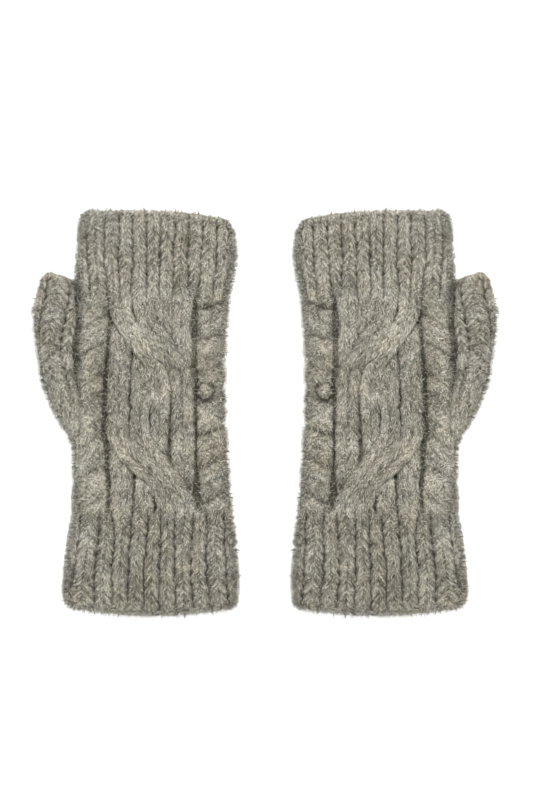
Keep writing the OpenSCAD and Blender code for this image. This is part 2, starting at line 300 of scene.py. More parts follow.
# cable strands: x, y on the drawing grid, width on the grid, height added in mm
STRANDS = [
    [(121, 270, 24, 0), (121, 300, 24, 0), (120.5, 311, 22, .3), (124, 321, 20.5, .8), (132, 333, 19.8, 1.3), (142, 346, 19.8, 1.7), (151, 359, 19.5, 1.3),
     (157, 371, 19.5, .5), (159.5, 388, 21, 0), (159.5, 402, 20.5, 0), (159.5, 415, 18.5, 0), (159, 430, 18, -.2), (158, 445, 17, -.6), (158, 456, 16, -1.3), (158, 466, 14, -2.4)],
    [(144, 270, 21.5, 0), (143.5, 301, 21, .1), (145, 312, 20.5, .4), (152, 328, 20, 1.1), (162.5, 344, 19.8, 1.7), (171, 357, 20, 1.4),
     (178, 369, 20.5, .6), (182.5, 384, 22.5, 0), (182.8, 400, 22.7, 0), (182.8, 440, 22.6, 0), (183.2, 462, 22, -.4), (184.5, 480, 20, -1.5), (184.5, 488, 17, -2.4)],
    [(163.5, 270, 17, 0), (163.5, 305, 17, 0), (163.5, 320, 16.5, -.2), (162.5, 336, 16, -1.1), (160, 348, 15, -2.2)],
    [(181.5, 270, 20, 0), (181.5, 300, 20, 0), (181.5, 336, 20, 0), (182, 352, 20, -.7), (182, 366, 17, -1.8)],
    [(118, 320, 10, -2.2), (119.5, 330, 16, -.6), (121, 341, 22.5, -.1), (120.6, 352, 23, 0), (119.6, 367, 21.8, 0), (118.6, 384, 21.0, 0), (118.3, 405, 21.0, 0),
     (118.2, 422, 21, .3), (118.5, 437, 20.5, .9), (125.5, 450, 20.3, 1.4), (138, 463, 19.8, 1.8), (150, 474, 19.5, 1.5), (160, 486, 18.5, .6), (164.8, 500, 18, .1), (165, 545, 19, 0)],
    [(143.5, 350, 14, -1.9), (142, 360, 18, -.5), (141, 372, 19.6, 0), (141, 384, 19.6, 0), (140.7, 400, 19.2, 0), (140, 412, 17.5, 0), (138.5, 425, 19, .3), (141.5, 439, 19.8, .8),
     (151, 453, 19.8, 1.3), (161, 468, 19.8, 1.8), (170, 481, 19.5, 1.6), (178, 493, 19, 1.0), (185.5, 506, 20, .1), (186.5, 545, 21, 0)],
    [(117, 443, 13, -2.0), (119.5, 452, 19, -.4), (122.2, 464, 22.5, 0), (122, 480, 21.4, 0), (121.7, 500, 21.6, 0), (121.5, 545, 23, 0)],
    [(147, 468, 13, -1.9), (145.3, 479, 17, -.4), (144, 495, 18.4, 0), (143.5, 545, 19, 0)],
]
STRAND_ROW = 6.0


def cables_field(u, y):
    X = u / G + 152.3
    P = 413.5 - y / G
    X = X + 0.8 * noise2(u, y, 7, 3) + 1.0 * noise2(u * 0.5, y, 3.0, 4)
    low = np.full(X.shape, -9.0)
    best = low.copy()
    second = low.copy()
    out = [np.zeros_like(X), np.ones_like(X), np.zeros_like(X), np.zeros_like(X)]
    lb, l2 = np.zeros_like(X), np.zeros_like(X)
    for n, path in enumerate(STRANDS):
        a = np.array(path, float)
        t = np.concatenate([[0], np.cumsum(np.hypot(*np.diff(a[:, :2], axis=0).T))])
        tt = np.linspace(0, t[-1], max(8, int(t[-1] / 7)))
        q = np.column_stack([smooth_interp(tt, t, a[:, i]) for i in range(4)])
        dist = np.full(X.shape, 1e9)
        sd, al = np.zeros_like(X), np.zeros_like(X)
        w, lift = np.ones_like(X), np.zeros_like(X)
        dx, dy = np.zeros_like(X), np.ones_like(X)
        for i in range(len(q) - 1):
            ax, ay, bx, by = q[i, 0], q[i, 1], q[i + 1, 0], q[i + 1, 1]
            ex, ey = bx - ax, by - ay
            ln = math.hypot(ex, ey)
            f = np.clip(((X - ax) * ex + (P - ay) * ey) / (ln * ln), 0, 1)
            rx, ry = X - (ax + f * ex), P - (ay + f * ey)
            d = np.hypot(rx, ry)
            on = d < dist
            sign = np.sign(ex * ry - ey * rx)
            dist = np.where(on, d, dist)
            sd = np.where(on, -sign * d, sd)
            al = np.where(on, tt[i] + f * ln, al)
            w = np.where(on, q[i, 2] * (1 - f) + q[i + 1, 2] * f, w)
            lift = np.where(on, q[i, 3] * (1 - f) + q[i + 1, 3] * f, lift)
            dx = np.where(on, ex / ln, dx)
            dy = np.where(on, ey / ln, dy)
        c = sd / (w * 1.07)
        round_ = np.sqrt(np.clip(1 - (2 * c) ** 2, 0, 1))
        cc2 = (c + 0.5) * 2
        ic = np.clip(np.floor(cc2), 0, 1)
        cc = np.clip(cc2 - ic - 0.5, -0.5, 0.5)
        off = np.random.default_rng(300 + n).uniform(0, 1, 2)[ic.astype(int)]
        sh, sgn, slope, up, streak = stitches(cc, -al * G, w * G / 2, STRAND_ROW, off)
        h = 2.75 * round_ ** 0.52 + 0.80 * (sh - 0.3) * round_ ** 0.3 + lift
        h = h * np.where(lift > -1.2, 1, np.clip(1 + (lift + 1.2), 0, 1))
        h = h + 0.25 * noise2(u, y, 5, n)
        h = np.where(np.abs(c) < 0.5, h, -9)
        on = h > best
        l2 = np.where(on, lb, np.where(h > second, lift, l2))
        lb = np.where(on, lift, lb)
        second = np.where(on, best, np.maximum(second, h))
        best = np.where(on, h, best)
        slope = slope * (1 + 1.1 * sstep(0.3, 1.2, lift))        # drawn out along the strand where it crosses
        vx, vy = aim(sgn, slope, dy, dx, dx, -dy)
        # 'raised' falls towards the strand edges (painted shade); where a strand lifts over another its streak rises by
        # up to 0.10, a painted highlight on the crossing strands
        for k, v in enumerate((vx, vy, (0.45 + 0.55 * up) * round_ ** 0.30, streak + 0.10 * sstep(0.4, 1.3, lift))):
            out[k] = np.where(on, v, out[k])
    # where two strands meet, the crease between them is soft and partly closed by the nap
    soft = 0.42 + 0.25 * noise2(u, y, 4.5, 5)
    gap = np.clip(best - second, 0, 6)
    crease = np.exp(-gap / np.maximum(soft, 0.12)) * (second > -2)
    both = sstep(0.2, 0.9, np.minimum(lb, l2))
    over = sstep(0.5, 1.3, np.abs(lb - l2)) * (np.minimum(lb, l2) > -2.0)      # a strand that climbs over another
    bridge = np.clip(1.8 * noise2(u, y, 3.0, 4) - 0.1, 0, 1)                 # matted hair across the crease
    best = best + ((0.36 + 0.36 * both) * (1 - over) - 0.95 * over + 0.9 * bridge * (1 - over)) * crease * (best > -0.5)
    # 'raised' drops in the crease where a strand climbs over another: a painted shade; matted hair across the crease
    # raises it
    return best, out[0], out[1], np.clip(np.maximum(out[2], 0.7 * bridge * crease * (1 - over)) - 0.35 * over * crease, 0, 1), out[3]


def rope_field(u, y, left):
    X = u / G + 152.3
    P = 413.5 - y / G
    X = X + 0.7 * noise2(u, y, 8, 5) + 1.0 * noise2(u * 0.5, y, 2.4, 1)
    if left:
        inner = smooth_interp(P, [280, 300, 320, 340, 380, 400, 430, 450, 475, 500, 545], [107, 108.5, 109, 107, 103.2, 102.2, 102.2, 104, 106, 107, 105])
        outer = np.full_like(X, 64.0)
        ks = np.array([268, 297, 326, 354, 386, 416, 447, 477, 507, 537, 566], float)
        c0, hw = (inner + outer) / 2, (inner - outer) / 2
        slope_px, tall, low, seed = 11.0, 3.4, 0.54, 400
    else:
        inner = smooth_interp(P, [280, 300, 367, 385, 460, 485, 510, 545], [198, 197.6, 197.6, 197.9, 197.6, 199.3, 202.5, 206])
        outer = np.full_like(X, 237.0)
        ks = np.array([272, 304, 335, 366, 397, 430, 463, 496, 528, 560], float)
        c0, hw = (inner + outer) / 2, (outer - inner) / 2
        slope_px, tall, low, seed = 6.0, 3.6, 0.40, 500
    t = (X - c0) / hw
    tc = np.clip(t, -1, 1)
    yb = P + slope_px * np.sin(tc * np.pi / 2) + 1.2 * noise2(u, y, 10, 6)
    i = np.clip(np.searchsorted(ks, yb.ravel()).reshape(yb.shape) - 1, 0, len(ks) - 2)
    f = np.clip((yb - ks[i]) / (ks[i + 1] - ks[i]), 0, 1)
    lobe = np.clip(1 - np.abs(2 * f ** 0.9 - 1) ** 2.0, 0, 1) ** 0.8
    across = np.sqrt(np.clip(1 - tc ** 2, 0, 1))
    rng = np.random.default_rng(seed)
    amp = rng.uniform(0.85, 1.12, len(ks))[i]
    low = np.clip(low + 0.28 * noise2(u, y, 6.5, 2) + 0.25 * sstep(0.1, 0.9, -tc if left else tc), 0.1, 0.95)
    c2 = f * 2                      # two stitches side by side along each lobe
    ic = np.clip(np.floor(c2), 0, 1)
    cc = np.clip(c2 - ic - 0.5, -0.5, 0.5)
    al = (X - c0) * G * 1.15
    wd = (ks[i + 1] - ks[i]) * G / 2
    sh, sgn, slope, up, streak = stitches(cc, al, wd, 5.6, rng.uniform(0, 1, 64)[(2 * i + ic.astype(int)) % 64])
    h = tall * across ** 0.45 * (low + (1 - low) * lobe) * amp + 0.35 * (sh - 0.3) * across ** 0.5
    sl = slope_px * np.cos(tc * np.pi / 2) * np.pi / 2 / hw
    tx, ty = 1 / np.hypot(1, sl), sl / np.hypot(1, sl)
    dx, dy = aim(sgn, slope, ty, -tx, -tx, -ty)
    h = h + 0.3 * noise2(u, y, 5, 7)
    if not left:
        rr = np.hypot(X - 205.5, P - 391.5) / 7.2
        knob = np.sqrt(np.clip(1 - rr * rr, 0, 1))
        ring = np.exp(-((rr - 1.18) / 0.26) ** 2)
        h = h + 2.1 * knob - (0.9 + 0.9 * sstep(-4, 6, P - 391.5)) * ring
        # the ring round the knob lowers 'raised', a painted shade in its moat
        up = np.clip(up + 0.9 * knob - 0.60 * ring, 0, 1)
        lobe = np.clip(lobe + knob - 0.60 * ring, 0, 1)
    # 'raised' falls towards the lobe boundaries and the rope's sides, darkening the colour there: a painted shade
    return np.where(np.abs(t) < 1, h, -9), dx, dy, np.clip((0.4 + 0.6 * up) * (low + (1 - low) * lobe ** 0.7) * across ** 0.25, 0, 1), streak


def hand_field(u, y, xl, xr):
    """Back of the hand: cables and ropes on the purl ground, running into the ribs at both ends."""
    grd = -0.5 + 0.3 * np.abs(np.sin(np.pi * y / 3.1 + 2 * noise2(u, y, 4, 2))) + 0.25 * noise2(u, y, 2.5, 4)
    grd = grd + 0.5 * sstep(gx(112), gx(120), u) * sstep(-gx(194), -gx(186), -u)
    # the purl ground has 'raised' 0, so its colour is darkened most: a painted shade in the recess
    f = (grd, np.full_like(u, 0.95), np.full_like(u, 0.3), 0.0 * np.ones_like(u), noise2(u, y, 1.1, 3))
    for g in (cables_field(u, y), rope_field(u, y, True), rope_field(u, y, False)):
        on = g[0] > f[0]
        f = tuple(np.where(on, b, a) for a, b in zip(f, g))
    pf = plain_field(u, y, 5.1, 5.6, 61)
    pf = (pf[0] + 0.6,) + pf[1:]
    xlm, xrm = xl + fold_of(xl, xr), xr - fold_of(xl, xr)
    f = mix_fields(f, pf, np.maximum(sstep(xrm + 10.5, xrm + 15.5, u), sstep(-(xlm - 10.5), -(xlm - 15.5), -u)))
    P = 413.5 - y / G
    f = mix_fields(f, finger_field(u, y, xl, xr), 1 - sstep(289, 306, P + 3 * noise2(u, y, 6, 1)))
    return mix_fields(f, wrist_field(u, y, xl, xr), sstep(503, 520, P + 3 * noise2(u, y, 6, 2)))


FIELDS = {"hand": hand_field, "finger": finger_field, "wrist": wrist_field, "thumb": thumb_field}
EDGES = {"hand": hand_edges, "finger": hand_edges, "wrist": hand_edges, "thumb": tube_edges}


def low_edge(x, under):
    return -110.1 + 4.8 * (x / 47.0) ** 2


def high_edge(x, under):
    back = 111.1 - np.where(x > 0, 5.0 * np.abs(x / 41.6) ** 2.2, 0.4 * (x / 38.0) ** 2)
    front = back - 0.2 - 1.3 * sstep(-8, 22, x)
    return front * (1 - under) + back * under


def thumb_edge(x, under):
    q = (x + 56) / 14
    return 77.2 - np.where(q > 0, 4.6 * q, 7.2 * q * q) - 0.8 * (1 - under)


ENDS = {"finger": 112.2, "wrist": -112.2, "thumb": 78.0}


def roll(kind, y):
    """How far the fabric has turned over towards its open end, 0 to 1."""
    if kind not in ENDS:
        return np.zeros_like(y)
    t = np.clip(1 - np.abs(ENDS[kind] - y) / 2.6, 0, 1)
    return 1 - np.sqrt(1 - t * t)


def slim(kind, nx, y):
    """The knitted yarn stops short of the outline at the folds; only loose hair reaches it."""
    full = sstep(52.0, 60.0, y) * (1 - sstep(78.0, 86.0, y)) * (nx < 0)       # where the thumb's tip leans on the hand
    if kind == "thumb":
        return 2.1 * np.clip(-nx, 0, 1) ** 1.4
    return 2.1 * (1 - 0.75 * full) * np.clip(np.abs(nx), 0, 1) ** 1.4


def surface(kind, u, y, warp=None, lift=0.0):
    """Points, outward normals, yarn directions, raised share and streak at (u, y). warp moves y near an end."""
    xl, xr = EDGES[kind](y)
    h, dx, dy, up, streak = FIELDS[kind](u, y, xl, xr)
    x, z, nx, nz, under = loop_point(u, xl, xr)
    sink = SINK * (1 - under) + 2.9 * under
    d = np.where(under > 0.02, np.minimum(h - sink, 0.0) * under + (h - sink) * (1 - under), h - sink) + lift
    d = d - 2.0 * roll(kind, y) - slim(kind, nx, y)
    yy = y if warp is None else warp(x, y, under)
    X = x + nx * d
    Z = z + nz * d
    tx, tz = nz, -nx
    return np.stack([X, yy, Z], -1), np.stack([nx, np.zeros_like(nx), nz], -1), np.stack([dx * tx, dy, dx * tz], -1), up, streak


def warp_between(y0, y1, edge):
    """Stretches y in y0..y1 so that y1 lands on the edge curve."""
    def f(x, y, under):
        t = (y - y0) / (y1 - y0)
        return y0 + t * (edge(x, under) - y0)
    return f


WARPS = {"hand": None,
         "finger": warp_between(Y_KNUCKLE, 112.2, lambda x, n: high_edge(x, n) - 0.3),
         "wrist": warp_between(Y_WRIST, -112.2, lambda x, n: low_edge(x, n) + 0.3),
         "thumb": None}


def thumb_warp(x, y, under):
    t = np.clip((y - Y_THUMB) / (78.0 - Y_THUMB), 0, None)
    return np.where(y > Y_THUMB, Y_THUMB + t * (thumb_edge(x, under) - 0.3 - Y_THUMB), y)


WARPS["thumb"] = thumb_warp


# ---------------------------------------------------------------------------------------------
# Mesh helpers
# ---------------------------------------------------------------------------------------------
def new_mesh(name, co, quads=None, polys=None, attrs=None, uv=None, smooth=True, warm_fleck=False):
    """co in mm. quads: (n,4) or (n,3) index arrays; polys: list of loops for odd faces."""
    me = bpy.data.meshes.new(name)
    co = np.asarray(co, float) / 1000.0
    loops, starts, totals = [], [], []
    n = 0
    for arr in (quads or []):
        arr = np.asarray(arr, int)
        if not len(arr):
            continue
        loops.append(arr.ravel())
        starts.append(n + np.arange(len(arr)) * arr.shape[1])
        totals.append(np.full(len(arr), arr.shape[1]))
        n += arr.size
    for p in (polys or []):
        loops.append(np.asarray(p, int))
        starts.append(np.array([n]))
        totals.append(np.array([len(p)]))
        n += len(p)
    loops = np.concatenate(loops)
    starts = np.concatenate(starts)
    totals = np.concatenate(totals)
    me.vertices.add(len(co))
    me.vertices.foreach_set("co", co.astype(np.float32).ravel())
    me.loops.add(len(loops))
    me.loops.foreach_set("vertex_index", loops.astype(np.int32))
    me.polygons.add(len(starts))
    me.polygons.foreach_set("loop_start", starts.astype(np.int32))
    me.polygons.foreach_set("loop_total", totals.astype(np.int32))
    me.update(calc_edges=True)
    me.polygons.foreach_set("use_smooth", np.full(len(starts), smooth, bool))
    attrs = dict(attrs or {})
    if "tone" in attrs:
        # some of the spun fleece is warmer, some cooler; the yarn drifts between them
        fleck = np.modf(np.asarray(attrs["tone"], float) * 913.0)[0] - 0.5
        cx, cy = co[:, 0] * 1000, co[:, 1] * 1000
        attrs["warm"] = 0.5 + 2.6 * fleece(cx, cy) + 0.34 * noise2(cx, cy, 13.0, 6) + 0.28 * noise2(cx, cy, 5.0, 7) + (0.5 if warm_fleck else 0.0) * fleck
    for key, val in attrs.items():
        val = np.asarray(val, np.float32)
        if val.ndim == 1:
            at = me.attributes.new(key, "FLOAT", "POINT")
            at.data.foreach_set("value", val)
        else:
            at = me.attributes.new(key, "FLOAT_VECTOR", "POINT")
            at.data.foreach_set("vector", val.ravel())
    if uv is not None:
        layer = me.uv_layers.new(name="OFBake")
        layer.data.foreach_set("uv", np.asarray(uv, np.float32)[loops].ravel())
    me.validate()
    ob = bpy.data.objects.new(name, me)
    SCENE.collection.objects.link(ob)
    return ob


def grid_faces(nv, nu, base=0, closed=False, flip=False):
    i = np.arange(nv - 1)[:, None]
    j = np.arange(nu if closed else nu - 1)[None, :]
    j2 = (j + 1) % nu
    q = np.stack([i * nu + j, i * nu + j2, (i + 1) * nu + j2, (i + 1) * nu + j], -1).reshape(-1, 4) + base
    return q[:, ::-1] if flip else q


def shell(name, outer, inner, closed, attrs_o, attrs_i, flip, step):
    """A closed solid between an outer grid (nv, nu, 3) and an inner grid with every step-th point."""
    nv, nu = outer.shape[:2]
    mv, mu = inner.shape[:2]
    base = nv * nu
    co = np.concatenate([outer.reshape(-1, 3), inner.reshape(-1, 3)])
    faces = [grid_faces(nv, nu, 0, closed, flip), grid_faces(mv, mu, base, closed, not flip)]
    polys = []

    def ring(fine, coarse, rev):
        """fine: outer indices along an edge, coarse: the inner ones, same ends."""
        m = len(coarse) - 1
        for k in range(m):
            a = list(fine[k * step:(k + 1) * step + 1])
            b = [coarse[k + 1], coarse[k]]
            p = a + b
            polys.append(p[::-1] if rev else p)

    idx_o = np.arange(base).reshape(nv, nu)
    idx_i = np.arange(mv * mu).reshape(mv, mu) + base
    wrap_o = np.concatenate([idx_o, idx_o[:, :1]], 1) if closed else idx_o
    wrap_i = np.concatenate([idx_i, idx_i[:, :1]], 1) if closed else idx_i
    ring(wrap_o[0], wrap_i[0], not flip)
    ring(wrap_o[-1], wrap_i[-1], flip)
    if not closed:
        ring(idx_o[:, 0], idx_i[:, 0], flip)
        ring(idx_o[:, -1], idx_i[:, -1], not flip)
    attrs = {k: np.concatenate([attrs_o[k].reshape((-1,) + attrs_o[k].shape[2:]), attrs_i[k].reshape((-1,) + attrs_i[k].shape[2:])]) for k in attrs_o}
    # UV: outer on the left 80 %, inner on the right
    vv, uu = np.meshgrid(np.linspace(0.01, 0.99, nv), np.linspace(0.005, 0.795, nu), indexing="ij")
    v2, u2 = np.meshgrid(np.linspace(0.01, 0.99, mv), np.linspace(0.805, 0.995, mu), indexing="ij")
    uv = np.concatenate([np.stack([uu, vv], -1).reshape(-1, 2), np.stack([u2, v2], -1).reshape(-1, 2)])
    return new_mesh(name, co, faces, polys, attrs, uv)


# places where the spun fleece runs paler (+) or darker (-): x, y, radius in mm, strength
FLEECE = [(-31, 53, 5.0, .11), (-36, 23, 4.5, .10), (31, -3, 5.5, .12), (29, 38, 5.0, .07), (-17, -4, 4.5, .07), (-16, -19, 5.5, .08),
          (6, -27, 6.0, .07), (-2, 36, 6.0, .06), (-6, 87, 5.0, .06), (-26, -48, 5.0, .07), (32, -28, 5.0, .05),
          (18, -6, 5.5, -.09), (-18, 14, 6.0, -.06), (-41, 62, 5.0, -.07), (2, 50, 5.0, -.05), (-33, 2, 5.0, -.06), (-14, -45, 6.0, -.04),
          (29.5, 12.8, 2.6, .14), (22, 98, 6.0, -.04), (8, 12, 5.0, .04), (-34, -30, 5.0, -.05), (-56, 18, 6.0, -.05), (-60, 2, 5.0, .05)]


def drawn(u, y):
    """1 on the strands that cross in the centre cable, where the yarn is pulled straight."""
    t = np.zeros(np.broadcast(u, y).shape)
    for x0, p0, x1, p1 in ((124, 312, 176, 372), (122, 434, 182, 500)):
        ax, ay, bx, by = gx(x0), gy(p0), gx(x1), gy(p1)
        ln = math.hypot(bx - ax, by - ay)
        ex, ey = (bx - ax) / ln, (by - ay) / ln
        along, off = (u - ax) * ex + (y - ay) * ey, (u - ax) * ey - (y - ay) * ex
        t = np.maximum(t, (1 - sstep(8.0, 12.0, np.abs(off))) * sstep(-4, 3, along) * (1 - sstep(ln - 3, ln + 4, along)))
    return t


def fleece(u, y):
    t = np.zeros(np.broadcast(u, y).shape)
    for px, py, r, k in FLEECE:
        t = t + k * np.exp(-((u - px) ** 2 + (y - py) ** 2) / (r * r))
    return t


def tone_at(u, y, seed=0):
    """Marl yarn: slow drift along the fabric, quicker flecks, 0 dark to 1 cream. Below y = -88 mm the colour is 0.05
    darker, a painted shade for the light falling off towards the cuff's end.
    """
    return np.clip(0.525 - 0.05 * (1 - sstep(-100, -88, y)) + fleece(u, y) + 0.06 * noise2(u, y, 15, seed) + 0.09 * noise2(u, y * 0.8, 5.5, seed + 1) + 0.08 * noise2(u, y, 1.8, seed + 2), 0, 1)


def crease_shade(kind, u, y):
    """Painted shade: 1 deep in the crease between the thumb and the hand; the fabric and its hairs are darkened there.
    """
    if kind == "thumb":
        xl, xr = tube_edges(y)
        s = u - (xr - fold_of(xl, xr))
        return sstep(3.0, 7.0, s) * sstep(8, 26, y)
    if kind in ("hand", "finger"):
        xl, xr = hand_edges(y)
        s = (xl + FOLD) - u
        return sstep(5.0, 8.0, s) * sstep(8, 26, y) * (1 - sstep(72, 78, y))
    return np.zeros_like(u)


def fold_painted_light(kind, u, y):
    """Painted light: the outer folds are painted paler, standing in for the side light that falls on them."""
    xl, xr = EDGES[kind](y)
    a = fold_of(xl, xr)
    s = sstep(0.5, 5.0, (xl + a) - u)
    if kind != "thumb":
        s = s + sstep(0.5, 5.0, u - (xr - a))
    return (0.12 if kind == "thumb" else 0.075) * s


def skin_grid(kind, u, y, lift=0.0):
    p, n, t, up, streak = surface(kind, u, y, WARPS[kind], lift)
    # colour: yarn tone and streak (the streak carries the crossing strands' painted highlight), plus painted light on
    # the outer folds and painted shade in the thumb crease
    return p, up, np.clip(tone_at(u, y, 1) + 0.20 * streak + fold_painted_light(kind, u, y) - 0.28 * crease_shade(kind, u, y), 0, 1)


def inner_grid(kind, u, y, depth=4.0):
    xl, xr = EDGES[kind](y)
    x, z, nx, nz, under = loop_point(u, xl, xr)
    warp = WARPS[kind]
    yy = y if warp is None else warp(x, y, under)
    f = 0.35 * np.abs(np.sin(np.pi * u / 7.6)) + 0.15 * noise2(u, y, 2.5, 3)
    d = -depth + f + 1.5 * roll(kind, y) - slim(kind, nx, y)
    return np.stack([x + nx * d, yy, z + nz * d], -1), np.full(u.shape, 0.35), tone_at(u, y, 5)


def rows_between(y0, y1, step, mult):
    n = int(math.ceil(abs(y1 - y0) / step / mult)) * mult + 1
    return np.linspace(y0, y1, n)


def tube_piece(name, kind, y0, y1, du=0.5, dy=0.5, step=4):
    """A whole knitted tube from y0 to y1 (stated at rest), open at both ends, walls 4 mm."""
    y = rows_between(y0, y1, dy, step)
    xl, xr = EDGES[kind](y)
    ul, ur = loop_ends(xl, xr)
    nu = int(math.ceil(np.max(ur - ul) / du / step)) * step
    t = np.arange(nu) / nu
    U = ul[:, None] + (ur - ul)[:, None] * t[None, :]
    Y = np.repeat(y[:, None], nu, 1)
    p, up, tone = skin_grid(kind, U, Y)
    pi, upi, ti = inner_grid(kind, U[::step, ::step], Y[::step, ::step])
    return shell(name, p, pi, True, {"raised": up, "tone": tone}, {"raised": upi, "tone": ti}, y1 < y0, step)


def patch_piece(name, kind, y0, y1, u_lo, u_hi, du, dy, depth, step=4, bottom=None):
    """A piece of the tube's surface between two lines, with its own thickness."""
    y = rows_between(y0, y1, dy, step)
    a, b = u_lo(y), u_hi(y)
    nu = int(math.ceil(np.max(b - a) / du / step)) * step + 1
    t = np.linspace(0, 1, nu)
    U = a[:, None] + (b - a)[:, None] * t[None, :]
    Y = np.repeat(y[:, None], nu, 1)
    p, up, tone = skin_grid(kind, U, Y)
    xl, xr = EDGES[kind](Y[::step, ::step])
    u2, y2 = U[::step, ::step], Y[::step, ::step]
    x, z, nx, nz, under = loop_point(u2, xl, xr)
    pi = np.stack([x - nx * depth, y2, z - nz * depth], -1)
    k = np.full(u2.shape, 0.2)
    return shell(name, p, pi, False, {"raised": up, "tone": tone}, {"raised": k, "tone": k + 0.3}, y1 < y0, step)


def rim_piece(name, kind, edge, y_at, seed, n_psi=14, radius=1.5):
    """A rolled edge: a thick ring of slanting chain stitches round the end of a tube."""
    y0 = y_at
    xl, xr = EDGES[kind](np.array([y0]))
    ul, ur = loop_ends(xl, xr)
    nu = int((ur - ul)[0] / 0.5)
    u = ul[0] + (ur - ul)[0] * np.arange(nu) / nu
    yv = np.full(nu, y0)
    xl, xr = np.full(nu, xl[0]), np.full(nu, xr[0])
    h = FIELDS[kind](u, yv, xl, xr)[0]
    x, z, nx, nz, under = loop_point(u, xl, xr)
    sgn = 1.0 if y0 > 0 else -1.0
    psi = np.arange(n_psi) / n_psi * 2 * np.pi
    sink = SINK * (1 - under) + 2.9 * under
    dep = np.clip(h - sink, -2.2, 1.2) * np.where(under > 0.5, 0.35, 0.6)
    dep = np.where(under > 0.3, np.minimum(dep, 0), dep)
    wave = np.abs(np.sin(np.pi * (u[:, None] / 4.1 + 0.35 * psi[None, :] / np.pi * sgn)))
    r = radius + 0.40 * (wave ** 0.6 - 0.6) + 0.25 * noise2(u[:, None] + 0 * psi[None, :], psi[None, :] * 2 + 0 * u[:, None], 3.0, seed)
    base = -2.1
    off = base + dep[:, None] * (0.5 + 0.5 * np.cos(psi)[None, :]) + r * np.cos(psi)[None, :]
    yc = edge(x, under) - sgn * (radius - 0.25)
    Y = yc[:, None] + sgn * r * np.sin(psi)[None, :] + sgn * 0.35 * noise2(u[:, None] + 0 * psi[None, :], 0 * u[:, None] + 0 * psi[None, :], 6.0, seed + 1)
    off = off - slim(kind, nx, yv)[:, None]
    X = x[:, None] + nx[:, None] * off
    Z = np.maximum(z[:, None] + nz[:, None] * off, 0.02)
    co = np.stack([X, Y, Z], -1).reshape(-1, 3)
    i = np.arange(nu)[:, None]
    j = np.arange(n_psi)[None, :]
    q = np.stack([i * n_psi + j, ((i + 1) % nu) * n_psi + j, ((i + 1) % nu) * n_psi + (j + 1) % n_psi, i * n_psi + (j + 1) % n_psi], -1).reshape(-1, 4)
    if sgn > 0:
        q = q[:, ::-1]
    # the rolled edges are partly paler yarn and partly painted light: the wrist edge gets 0.10 more, painted light
    # lifting the shade it faces away from the key light
    tone = np.clip(tone_at(u[:, None] + 0 * psi[None, :], y0 + 2 * psi[None, :] + 0 * u[:, None], seed) + (0.34 if kind == "wrist" else 0.24), 0, 1)
    uv = np.stack([np.repeat(np.linspace(0.01, 0.99, nu)[:, None], n_psi, 1), np.repeat(np.linspace(0.01, 0.99, n_psi)[None, :], nu, 0)], -1).reshape(-1, 2)
    return new_mesh(name, co, [q], None, {"raised": (0.55 + 0.45 * wave).ravel(), "tone": tone.ravel()}, uv)


